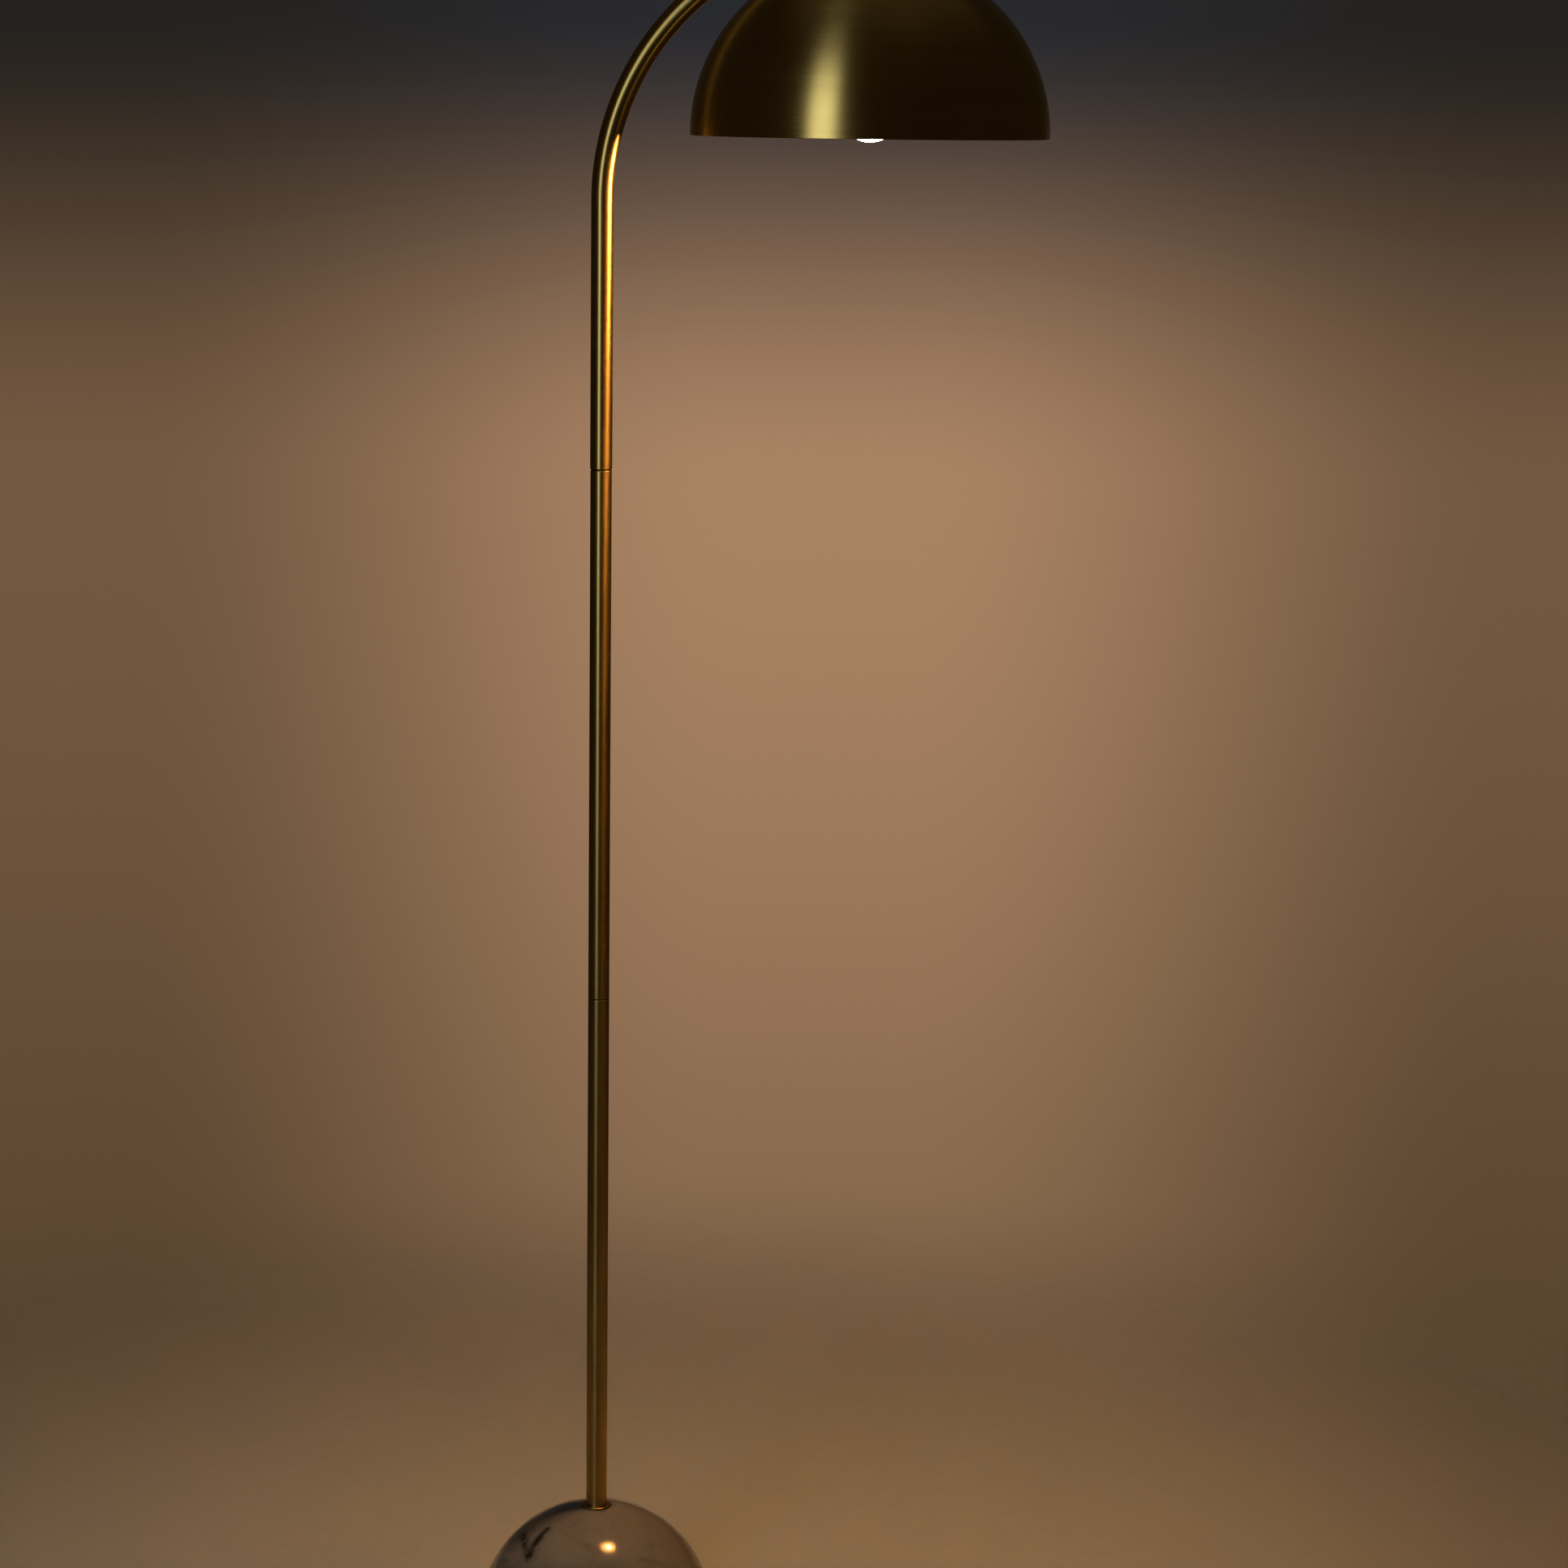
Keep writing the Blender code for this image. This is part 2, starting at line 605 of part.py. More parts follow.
def make_lampholder(axis):
    """Brass shell and cap, liner, insulating core, thread and contact. Heights from the bulb's top."""

    def at(height):
        return (PIVOT.x, 0, BULB_TOP_Z + height)

    key_z = 0.0095
    core_z = 0.0016
    core_height = 0.0150
    shell_top = 0.0169
    key_hole = tool(cylinder("key_hole", 0.0025, 0.017), at(key_z), (math.pi / 2, 0, 0))
    key_hole.location.y = -0.0135

    contact = ring("socket_contact", 0.0045, 0.0012, 0.001)
    keep(contact, brass("contact_brass"), axis, at(0.0003))
    core = ring("socket_core", 0.0150, 0.0024, core_height, TUBE_SEGMENTS)
    combine(core, key_hole, "DIFFERENCE")
    keep(core, dark_plastic("core_phenolic"), axis, at(core_z))
    thread_length = 0.0275
    thread = ring("socket_screw_shell", 0.0142, 0.0136, thread_length, TUBE_SEGMENTS)
    keep(thread, brass("thread_brass"), axis, at(0.0013 - thread_length))
    liner_bottom = -0.0290
    liner = ring("socket_liner", 0.0160, 0.0154, shell_top - 0.0004 - liner_bottom, TUBE_SEGMENTS)
    combine(liner, key_hole, "DIFFERENCE")
    keep(liner, dark_plastic("liner_fibre"), axis, at(liner_bottom))
    shell_bottom = -0.0295
    shell = ring("socket_shell", 0.0173, 0.0165, shell_top - shell_bottom, TUBE_SEGMENTS)
    combine(shell, key_hole, "DIFFERENCE")
    keep(shell, brass("shell_brass"), axis, at(shell_bottom))
    profile = [
        (PIPE_HOLE, 0.0218),
        (0.0075, 0.0218),
        (0.0080, 0.0140),
        (0.0140, 0.0110),
        (0.0170, 0.0060),
        (0.0178, 0.0),
        (0.0168, 0.0),
        (0.0160, 0.0055),
        (0.0133, 0.0100),
        (PIPE_HOLE, 0.0125),
    ]
    cap = turned("socket_cap", profile, TUBE_SEGMENTS)
    keep(cap, brass("socket_cap_brass"), axis, at(shell_top + FIT_GAP))
    return at(key_z)


def make_switch(shade_axis, key_at):
    """Turn key on the front of the lampholder."""
    axis = joint_axis("switch_axis", Vector(key_at) - shade_axis.location)
    axis.parent = shade_axis
    along_y = (math.pi / 2, 0, 0)
    shaft_end = -0.0290
    shaft_start = -0.0050
    length = shaft_start - shaft_end
    shaft = cylinder("switch_shaft", 0.002, length)
    knob = box("switch_knob", (0.014, 0.008, 0.0055))
    rounding = knob.modifiers.new("rounding", "BEVEL")
    rounding.width = 0.0015
    rounding.segments = 2
    bore = tool(cylinder("knob_bore", 0.0023, 0.010), (key_at[0], -0.0245, key_at[2]), along_y)
    combine(knob, bore, "DIFFERENCE")
    steel_finish = steel("shaft_steel")
    for obj, material, y in ((shaft, steel_finish, (shaft_start + shaft_end) / 2), (knob, None, -0.0265)):
        keep(obj, material or dark_plastic("knob_plastic"))
        obj.parent = axis
        obj.location = (0, y, 0)
    shaft.rotation_euler = along_y


def bulb_outline(inset):
    """Pear outline from the tip at height 0 to the neck, drawn in by the inset."""
    radius = BULB_RADIUS - inset
    points = []
    for i in range(7):
        angle = math.pi / 2 * i / 6
        points.append((radius * math.sin(angle), BULB_RADIUS - radius * math.cos(angle)))
    neck_z = 0.080
    for i in range(1, 7):
        t = i / 6
        blend = (1 + math.cos(math.pi * t)) / 2
        wide = BULB_NECK - inset + (BULB_RADIUS - BULB_NECK) * blend
        points.append((wide, BULB_RADIUS + (neck_z - BULB_RADIUS) * t))
    points.append((BULB_NECK - inset, 0.0845))
    return points


def make_bulb(shade_axis):
    """Pear bulb with its screw cap up. Heights are from its tip."""
    origin = Vector((PIVOT.x, 0, BULB_TIP_Z))
    axis = joint_axis("bulb_axis", origin - shade_axis.location)
    axis.parent = shade_axis

    def fit(obj, material, height=0.0):
        keep(obj, material)
        obj.parent = axis
        obj.location = (0, 0, height)

    outer = list(reversed(bulb_outline(0.0)))
    inner = bulb_outline(GLASS_WALL)
    glass = turned("bulb_glass", outer[:-1] + [(0, 0)] + [(0, inner[0][1])] + inner[1:], TUBE_SEGMENTS)
    fit(glass, finish("glass", (1.0, 0.85, 0.6), 0.05, 0.0, 0.35, 3.0))
    profile = [
        (0.0076, 0.0230),
        (0.0108, 0.0215),
        (0.0132, 0.0190),
        (0.0132, 0.0),
        (0.0126, 0.0),
        (0.0126, 0.0187),
        (0.0104, 0.0209),
        (0.0076, 0.0223),
    ]
    fit(turned("bulb_cap", profile, TUBE_SEGMENTS), steel("cap_nickel"), 0.0812)
    insulator = [(0, 0.1065), (0.0046, 0.1065), (0.0072, 0.1046), (0.0072, 0.1032), (0, 0.1032)]
    fit(turned("bulb_insulator", insulator, SMALL_SEGMENTS), dark_plastic("black_glass"))
    contact = [(0, BULB_LENGTH), (0.0035, BULB_LENGTH), (0.0042, 0.1073), (0.0042, 0.1068), (0, 0.1068)]
    fit(turned("bulb_contact", contact, SMALL_SEGMENTS), brass("tip_solder"))
    stem = [(0, 0.0930), (0.0100, 0.0930), (0.0085, 0.0880), (0.0040, 0.0780)]
    stem += [(0.0030, 0.0620), (0.0036, 0.0590), (0, 0.0580)]
    fit(turned("bulb_stem", stem, SMALL_SEGMENTS), finish("stem_glass", (0.9, 0.9, 0.9), 0.05, 0.0, 0.5))
    cage_radius, cage_middle, cage_swing, lobes, steps = 0.010, 0.042, 0.013, 4, 48
    points = []
    for i in range(steps + 1):
        angle = 0.97 * 2 * math.pi * i / steps
        height = cage_middle + cage_swing * math.sin(lobes * angle)
        points.append((cage_radius * math.cos(angle), cage_radius * math.sin(angle), height))
    filament = curve_mesh("bulb_filament", points, 0.0005, 1)
    fit(filament, finish("filament", (1.0, 0.6, 0.25), 0.4, 0.0, 1.0, 30.0))


# ---------------------------------------------------------------- lead inside the tubes
def make_leads(arc_axis, shade_axis):
    """Three stretches of the same lead, one for each body that carries it."""
    rubber = finish("lead_rubber", (0.05, 0.05, 0.05), 0.6, 0.0)
    channel_z = PAD_THICKNESS + FIT_GAP + CHANNEL_HEIGHT / 2
    turn_radius = 0.010
    start_y = STONE_RADIUS - 0.004
    points = [(0, start_y + (turn_radius - start_y) * i / 6, channel_z) for i in range(6)]
    for i in range(7):
        angle = math.pi / 2 * i / 6
        y = turn_radius * (1 - math.sin(angle))
        points.append((0, y, channel_z + turn_radius * (1 - math.cos(angle))))
    low, high = points[-1][2], SWIVEL_Z + 0.0345
    points += [(0, 0, low + (high - low) * i / 8) for i in range(1, 9)]
    keep(curve_mesh("lead_post", points, LEAD_RADIUS, 2), rubber)

    points = [(0, 0, SWIVEL_Z + 0.0362), (0, 0, BEND_Z - 0.05)] + bend_points(18)
    points += [fork_frame(0.0098)]
    origin = Vector((0, 0, SWIVEL_Z))
    shifted = [Vector(point) - origin for point in points]
    keep(curve_mesh("lead_arc", shifted, LEAD_RADIUS, 2), rubber, arc_axis, origin)

    end_z = BULB_TOP_Z + 0.0100 - PIVOT.z
    points = [(-0.0070, 0, -0.0012), (-0.0034, 0, -0.0044), (-0.0010, 0, -0.0070)]
    points += [(-0.0002, 0, -0.0085), (0, 0, -0.0105), (0, 0, end_z)]
    keep(curve_mesh("lead_shade", points, LEAD_RADIUS, 2), rubber, shade_axis, PIVOT)


# ---------------------------------------------------------------- assembly
make_pad()
make_clamp(make_stone())
make_grommet()
make_foot()
make_post_joint()
make_middle_post()
swivel_axis = make_arc()
tilt_axis = joint_axis("shade_tilt_axis", PIVOT)
make_knuckle(tilt_axis)
make_dome(tilt_axis)
make_shade_fastening(tilt_axis)
make_switch(tilt_axis, make_lampholder(tilt_axis))
make_bulb(tilt_axis)
make_leads(swivel_axis, tilt_axis)
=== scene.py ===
# %% [markdown]
# # Arc floor lamp
# A brass post that bends over in a quarter circle, a half-ball brass shade that hangs from its end, and
# a half ball of marble that keeps it upright. The sizes and the moving bodies come from the packed
# model, which is loaded first and then only dressed: nothing here moves it.

# %% Load the lamp's frame
import json
import math

import bmesh
import bpy
from mathutils import Matrix, Vector


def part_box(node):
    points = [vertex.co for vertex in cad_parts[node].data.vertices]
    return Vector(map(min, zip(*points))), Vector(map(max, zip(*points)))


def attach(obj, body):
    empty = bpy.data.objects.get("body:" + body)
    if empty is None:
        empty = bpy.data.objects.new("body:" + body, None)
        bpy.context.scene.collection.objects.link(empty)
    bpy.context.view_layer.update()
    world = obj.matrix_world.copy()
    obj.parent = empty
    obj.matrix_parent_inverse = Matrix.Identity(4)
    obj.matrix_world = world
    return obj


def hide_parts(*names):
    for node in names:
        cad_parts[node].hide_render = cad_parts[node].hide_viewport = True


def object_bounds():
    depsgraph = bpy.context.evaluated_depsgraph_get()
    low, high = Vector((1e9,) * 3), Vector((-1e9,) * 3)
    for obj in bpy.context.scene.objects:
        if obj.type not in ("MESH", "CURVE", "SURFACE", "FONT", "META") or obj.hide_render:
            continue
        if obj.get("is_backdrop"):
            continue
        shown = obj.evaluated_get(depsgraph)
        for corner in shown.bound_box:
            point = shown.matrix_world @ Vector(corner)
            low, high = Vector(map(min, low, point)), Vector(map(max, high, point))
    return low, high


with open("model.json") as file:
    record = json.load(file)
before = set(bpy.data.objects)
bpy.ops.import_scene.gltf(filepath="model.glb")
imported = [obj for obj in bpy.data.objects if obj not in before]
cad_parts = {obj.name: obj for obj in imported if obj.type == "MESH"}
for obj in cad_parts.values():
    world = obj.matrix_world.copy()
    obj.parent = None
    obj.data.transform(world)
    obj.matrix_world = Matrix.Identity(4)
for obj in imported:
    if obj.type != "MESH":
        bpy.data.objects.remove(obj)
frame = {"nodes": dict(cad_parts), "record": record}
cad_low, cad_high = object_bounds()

QUARTER, TURN = math.pi / 2, 2 * math.pi
scene = bpy.context.scene


# %% [markdown]
# ## What is where
# The main sizes are read from the parts of the loaded model, so that a change there carries through to
# here. A node's box gives the middle and the half width of anything round. The short list at the end
# holds the gap between fitted parts and the radii of the holes that several pieces share.

# %% Read the main sizes
def middle(node):
    low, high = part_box(node)
    return (low + high) / 2


def half(node):
    low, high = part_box(node)
    return (high - low) / 2


DOME = middle("dome_shade")
DOME_RADIUS = half("dome_shade").x
RIM_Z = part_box("dome_shade")[0].z
SKIRT = 0.0015
DOME_CENTRE_Z = RIM_Z + SKIRT
POST_RADIUS = half("lower_post").x
ARC_RADIUS = half("arc_tube").y
FLOOR_Z = cad_low.z
STONE_RADIUS = half("marble_base").x
PIVOT = middle("friction_washer_front")
PIVOT.y = 0
FIT, PIN_HOLE, PIPE_HOLE, LEAD_HOLE, GRUB_HOLE = 0.0003, 0.0023, 0.0053, 0.0024, 0.0018
print("dome radius", DOME_RADIUS, "rim at", RIM_Z, "pivot", tuple(PIVOT))

# %% [markdown]
# ## The camera
# It stands a little above the shade, 3.7 m in front of the lamp, and looks down at ten degrees through
# a long lens. It leans sideways by less than a degree.

# %% Place the camera
CAMERA_SPOT = (0.3203, -3.7197, 1.4777)
TILT, LEAN, PAN = math.radians(9.829), math.radians(0.719), math.radians(2.249)
camera_data = bpy.data.cameras.new("camera")
camera_data.lens, camera_data.sensor_width = 92, 36
camera = bpy.data.objects.new("camera", camera_data)
scene.collection.objects.link(camera)
aim = Matrix.Rotation(PAN, 4, "Z") @ Matrix.Rotation(QUARTER - TILT, 4, "X")
camera.matrix_world = Matrix.Translation(CAMERA_SPOT) @ aim @ Matrix.Rotation(LEAN, 4, "Z")
scene.camera = camera
print("camera at", CAMERA_SPOT)

# %% [markdown]
# ## A socket that can be used in sums
# A finish is easier to read as `0.3 + 0.1 * grain` than as a row of Math nodes. `Wire` wraps a node's
# output, and each sum on it adds the Math node. It works the same in a material and in Geometry Nodes.


# %% Make the sum-writing class
class Wire:
    """An output socket that takes part in ordinary sums."""

    def __init__(self, board, socket):
        self.board = board
        self.socket = socket

    def sum(self, operation, first, second=None):
        values = {0: first} if second is None else {0: first, 1: second}
        return self.board.add("ShaderNodeMath", {"operation": operation}, values)

    def ease(self, start, end):
        """0 below start, 1 above end and a smooth rise between."""
        settings = {"interpolation_type": "SMOOTHSTEP"}
        return self.board.add("ShaderNodeMapRange", settings, {0: self, 1: start, 2: end})


def alone(operation):
    return lambda self: self.sum(operation, self)


def plain(operation):
    return lambda self, other: self.sum(operation, self, other)


def mirrored(operation):
    return lambda self, other: self.sum(operation, other, self)


SIGNS = {"add": "ADD", "sub": "SUBTRACT", "mul": "MULTIPLY", "truediv": "DIVIDE"}
for sign, operation in SIGNS.items():
    setattr(Wire, f"__{sign}__", plain(operation))
    setattr(Wire, f"__r{sign}__", mirrored(operation))
Wire.sine, Wire.cosine = alone("SINE"), alone("COSINE")
Wire.root, Wire.size = alone("SQRT"), alone("ABSOLUTE")
Wire.least, Wire.most = plain("MINIMUM"), plain("MAXIMUM")


class Board:
    """A node tree under construction."""

    def __init__(self, tree):
        self.tree = tree

    def feed(self, socket, value):
        if isinstance(value, Wire):
            self.tree.links.new(value.socket, socket)
        else:
            socket.default_value = value

    def node(self, kind, settings=None, inputs=None):
        """Adds a node. Its settings come first, then the values or wires of its sockets."""
        node = self.tree.nodes.new(kind)
        for key, value in (settings or {}).items():
            setattr(node, key, value)
        for key, value in (inputs or {}).items():
            self.feed(node.inputs[key], value)
        return node

    def add(self, kind, settings=None, inputs=None, out=0):
        """Adds a node and hands back one of its outputs as a wire."""
        return Wire(self, self.node(kind, settings, inputs).outputs[out])

    def parts(self, vector):
        """The three numbers of a vector."""
        node = self.node("ShaderNodeSeparateXYZ", None, {0: vector})
        return [Wire(self, socket) for socket in node.outputs]

    def join(self, x, y, z):
        return self.add("ShaderNodeCombineXYZ", None, {0: x, 1: y, 2: z})

    def blend(self, share, first, second):
        """From the first colour at 0 to the second at 1."""
        values = {0: share}
        for key, value in ((6, first), (7, second)):
            values[key] = value if isinstance(value, Wire) else (*value, 1)
        return self.add("ShaderNodeMix", {"data_type": "RGBA"}, values, 2)


print("sums can be written on node sockets")

# %% [markdown]
# ## A finish
# Each material starts from the Principled shader. What is the same all over is set on its sockets,
# and only what changes over the surface is wired in.


# %% Make the finish class
class Finish(Board):
    """A material being mixed."""

    def __init__(self, name, **fixed):
        self.material = bpy.data.materials.new(name)
        self.material.use_nodes = True
        super().__init__(self.material.node_tree)
        self.shader = self.tree.nodes["Principled BSDF"]
        for key, value in fixed.items():
            label = key.replace("_", " ").title().replace("Ior", "IOR")
            self.shader.inputs[label].default_value = value

    def wire(self, **wired):
        for key, value in wired.items():
            self.feed(self.shader.inputs[key.replace("_", " ").title()], value)
        return self.material

    def place(self):
        """Where a point is on the piece, in metres."""
        return self.add("ShaderNodeTexCoord", None, None, "Object")

    def turned(self):
        """Round and along a turned piece: cosine, sine and the run of its outline in metres."""
        return self.add("ShaderNodeAttribute", {"attribute_name": "turning"}, None, "Vector")

    def noise(self, vector, scale, detail=3.0, roughness=0.5, distortion=0.0, out=0):
        """Noise as one number, or with out=1 as a colour."""
        inputs = {"Vector": vector, "Scale": scale, "Detail": detail}
        inputs.update({"Roughness": roughness, "Distortion": distortion})
        return self.add("ShaderNodeTexNoise", None, inputs, out)

    def vector(self, operation, inputs, out=0):
        return self.add("ShaderNodeVectorMath", {"operation": operation}, inputs, out)

    def stretch(self, vector, x, y, z):
        return self.vector("MULTIPLY", {0: vector, 1: (x, y, z)})

    def shift(self, vector, push):
        return self.vector("ADD", {0: vector, 1: push})

    def bump(self, height, strength, distance):
        inputs = {"Strength": strength, "Distance": distance, "Height": height}
        return self.add("ShaderNodeBump", None, inputs)


print("finishes can be mixed")

# %% [markdown]
# ## Brass
# The lamp is satin brass. Its grain runs round each tube and round the shade, as left by an abrasive
# pad held against the turning metal. So the grain noise is squeezed along the piece and drawn out
# round it. The shader is anisotropic too: a quarter turn of its direction spreads each reflection
# along the piece and hardly across it, which gives the long thin lights of brushed metal.

# %% Mix the brass
BRASS_DEEP = (0.50, 0.34, 0.11)
BRASS_PALE = (0.68, 0.50, 0.19)


def brushed_brass(name, lines, spread, roughness, follow="turning", aniso=0.0):
    """Brass with this many grain lines to the metre."""
    skin = Finish(name, metallic=1.0, anisotropic=aniso, anisotropic_rotation=0.25)
    place = skin.turned() if follow == "turning" else skin.place()
    fine = skin.noise(skin.stretch(place, 0.9, 0.9, lines), 1.0, 4.0, 0.65)
    coarse = skin.noise(skin.stretch(place, 0.5, 0.5, lines * 0.13), 1.0, 3.0, 0.6)
    clouds = skin.noise(skin.shift(skin.place(), (3.1, 1.7, 0.4)), 11.0, 4.0, 0.55)
    marks = skin.noise(skin.shift(skin.place(), (9.0, 2.0, 5.0)), 210.0, 2.0).ease(0.70, 0.78)
    tone = 0.25 + 0.45 * fine + 0.30 * coarse + 0.35 * (clouds - 0.5)
    shade = skin.blend(tone.ease(0.2, 0.9), BRASS_DEEP, BRASS_PALE)
    rough = roughness + 0.16 * (fine - 0.5) + 0.10 * (clouds - 0.5) + 0.08 * marks
    grain = skin.bump(fine + 0.6 * coarse, spread, 0.0004)
    return skin.wire(base_color=shade, roughness=rough, normal=grain)


tube_brass = brushed_brass("tube_brass", 2600.0, 0.006, 0.39, aniso=0.77)
dome_brass = brushed_brass("dome_brass", 1500.0, 0.035, 0.34, aniso=0.85)
turned_brass = brushed_brass("turned_brass", 3800.0, 0.04, 0.34)
plain_brass = brushed_brass("plain_brass", 900.0, 0.04, 0.34, "place")
print("brass mixed", len(tube_brass.node_tree.nodes), "nodes each")

# %% [markdown]
# ## Marble
# A polished grey-brown stone, cloudy rather than striped. A painted shadow of the post runs from the
# ring down its left side to a forked dark vein. Both are drawn as the distance to a stretch between two
# places on the stone, measured from a point that noise has pushed about, so that their edges are torn.
# The clouds are broad noise, and a faint hair vein is where another noise passes its middle value.

# %% Mix the marble
STONE_PALE = (0.40, 0.365, 0.325)
STONE_GREY = (0.28, 0.265, 0.25)
STONE_WARM = (0.36, 0.30, 0.245)
# The dark grey of the painted shadow of the post, also used for the stone's own smoky clouds.
SHADOW_AND_SMOKE = (0.085, 0.085, 0.085)
VEIN_DARK = (0.030, 0.032, 0.030)
PUSH = 0.014
CRACK = [(-0.070, -0.019, 0.090), (-0.060, -0.054, 0.083)]
CRACK += [(-0.052, -0.043, 0.094), (-0.046, -0.034, 0.101)]
# Where the painted shadow of the post ends, under the foot ring.
POST_SHADOW_END = (-0.020, -0.003, 0.114)


def stroke(skin, place, start, end):
    """How far a point is from the stretch between two places, in metres."""
    start, run = Vector(start), Vector(end) - Vector(start)
    away = skin.vector("SUBTRACT", {0: place, 1: start})
    share = skin.vector("DOT_PRODUCT", {0: away, 1: run}, "Value") / run.length_squared
    foot = skin.vector("SCALE", {0: run, "Scale": share.most(0.0).least(1.0)})
    return skin.vector("DISTANCE", {0: away, 1: foot}, "Value")


def polished_marble():
    stone = Finish("marble", roughness=0.14, ior=1.5, coat_weight=0.3, coat_roughness=0.05)
    place = stone.place()
    swirl = stone.noise(place, 14.0, 5.0, 0.6, 0.8)
    bent = stone.shift(place, (0.7, 0.2, 0.9))
    clouds = stone.noise(stone.stretch(bent, 1.0, 1.3, 2.2), 9.0, 6.0, 0.62, 1.2)
    grains = stone.noise(place, 900.0, 2.0)
    push = stone.noise(place, 55.0, 5.0, 0.62, out=1)
    push = stone.vector("MULTIPLY_ADD", {0: push, 1: [PUSH] * 3, 2: [-PUSH / 2] * 3})
    torn = stone.shift(place, push)
    ragged = stone.noise(place, 130.0, 4.0, 0.6)
    hair = (stone.noise(stone.shift(place, (6.3, 0.4, 2.2)), 13.0, 6.0, 0.6, 1.1) - 0.5).size()
    ground = stone.blend(clouds.ease(0.40, 0.70), STONE_PALE, STONE_GREY)
    ground = stone.blend(swirl.ease(0.45, 0.70) * 0.7, ground, STONE_WARM)
    # Painted shadow: the post's shadow, drawn as a dark band from the foot ring down the stone's left
    # side. The same dark colour also paints the stone's real grey clouds along the hair vein and round
    # the forked vein.
    shadow_and_smoke = 1 - stroke(stone, torn, CRACK[0], POST_SHADOW_END).ease(0.0, 0.026)
    shadow_and_smoke = shadow_and_smoke.most((1 - hair.ease(0.0, 0.09)) * clouds.ease(0.50, 0.66) * 0.6)
    smudge = stroke(stone, torn, CRACK[0], CRACK[1]).least(stroke(stone, torn, CRACK[1], CRACK[3]))
    shadow_and_smoke = shadow_and_smoke.most((1 - smudge.ease(0.0, 0.013)) * 0.7)
    ground = stone.blend(shadow_and_smoke * 0.75, ground, SHADOW_AND_SMOKE)
    for start, end, wide in zip(CRACK, CRACK[1:], (0.0068, 0.0078, 0.0068)):
        line = 1 - stroke(stone, torn, start, end).ease(0.0, wide)
        ground = stone.blend(line * ragged.ease(0.28, 0.50) * 0.90, ground, VEIN_DARK)
    faint = (1 - hair.ease(0.0, 0.010)) * 0.16
    ground = stone.blend(faint, ground, (0.20, 0.19, 0.18))
    ground = stone.blend((grains - 0.5).size() * 0.30, ground, (0.62, 0.60, 0.57))
    gloss = 0.11 + 0.06 * swirl
    return stone.wire(base_color=ground, roughness=gloss, normal=stone.bump(grains, 0.04, 0.0002))


marble = polished_marble()
print("marble mixed")

# %% [markdown]
# ## The dull and dark finishes
# Felt under the stone, rubber, nylon, fibre and black moulded plastic. Each keeps one colour but for a
# fine unevenness in it, in its gloss and in its surface, at the size that the real thing shows.


# %% Mix the plain finishes
def speckled(name, dark, light, roughness, scale, depth, spread=0.15, **fixed):
    skin = Finish(name, **fixed)
    place = skin.place()
    fine = skin.noise(place, scale, 4.0, 0.6)
    broad = skin.noise(place, scale * 0.08)
    shade = skin.blend(0.5 * fine + 0.5 * broad, dark, light)
    rough = roughness + spread * (broad - 0.5) + spread * (fine - 0.5)
    return skin.wire(base_color=shade, roughness=rough, normal=skin.bump(fine, 0.5, depth))


NEAR_BLACK, CHARCOAL = (0.012, 0.012, 0.013), (0.06, 0.06, 0.062)
felt = speckled("felt", NEAR_BLACK, CHARCOAL, 0.95, 1500.0, 0.0006, 0.05, sheen_weight=0.4)
ZINC, ZINC_PALE = (0.42, 0.43, 0.45), (0.66, 0.66, 0.67)
NICKEL, NICKEL_PALE = (0.60, 0.58, 0.55), (0.76, 0.74, 0.70)
zinc = speckled("zinc", ZINC, ZINC_PALE, 0.34, 700.0, 0.00004, metallic=1.0)
nickel = speckled("nickel", NICKEL, NICKEL_PALE, 0.25, 500.0, 0.00003, metallic=1.0)
rubber = speckled("rubber", (0.015, 0.015, 0.015), (0.05, 0.05, 0.048), 0.62, 900.0, 0.0001)
sheath = speckled("sheath", (0.03, 0.03, 0.03), (0.07, 0.068, 0.065), 0.5, 700.0, 0.0001)
nylon = speckled("nylon", NEAR_BLACK, (0.035, 0.035, 0.036), 0.45, 1200.0, 0.00005)
fibre = speckled("fibre", (0.045, 0.030, 0.022), (0.13, 0.095, 0.07), 0.75, 800.0, 0.0001)
PHENOLIC, PHENOLIC_PALE = (0.010, 0.009, 0.008), (0.035, 0.028, 0.022)
phenolic = speckled("phenolic", PHENOLIC, PHENOLIC_PALE, 0.28, 600.0, 0.00005, coat_weight=0.2)
print("plain finishes mixed")

# %% [markdown]
# ## The lit bulb
# The filament glows, and the pearl coating inside the glass glows with it. The glass is let through in
# part, so that the filament can be made out from below.

# %% Mix the glass and the filament
WARM_WHITE = (1.0, 0.66, 0.33)


def glowing(name, base, alpha, color, strength, scale):
    skin = Finish(name, roughness=0.08, emission_strength=strength)
    skin.material.surface_render_method = "BLENDED"
    haze = skin.noise(skin.place(), scale)
    return skin.wire(
        base_color=skin.blend(haze, base, [0.9 * c for c in base]),
        emission_color=skin.blend(haze, color, [min(1.0, 1.1 * c) for c in color]),
        alpha=alpha + 0.1 * (haze - 0.5),
        roughness=0.06 + 0.08 * haze,
    )


bulb_glass = glowing("bulb_glass", (1.0, 0.92, 0.80), 0.35, WARM_WHITE, 9.0, 60.0)
stem_glass = glowing("stem_glass", (0.9, 0.9, 0.88), 0.45, WARM_WHITE, 0.6, 200.0)
filament = glowing("filament", (1.0, 0.8, 0.5), 1.0, (1.0, 0.78, 0.45), 120.0, 900.0)
print("glass mixed")

# %% [markdown]
# ## Turning on a lathe
# Most pieces of this lamp are turned or spun: the shade, the stone, the ring at the foot, the
# lampholder, the bulb. One Geometry Nodes tree does the lathe's work. It takes an outline, lays out a
# sheet with one row for each point of it, and winds the sheet round the axis. It also notes where
# each point is round and along the piece, and the brass reads that for its grain.


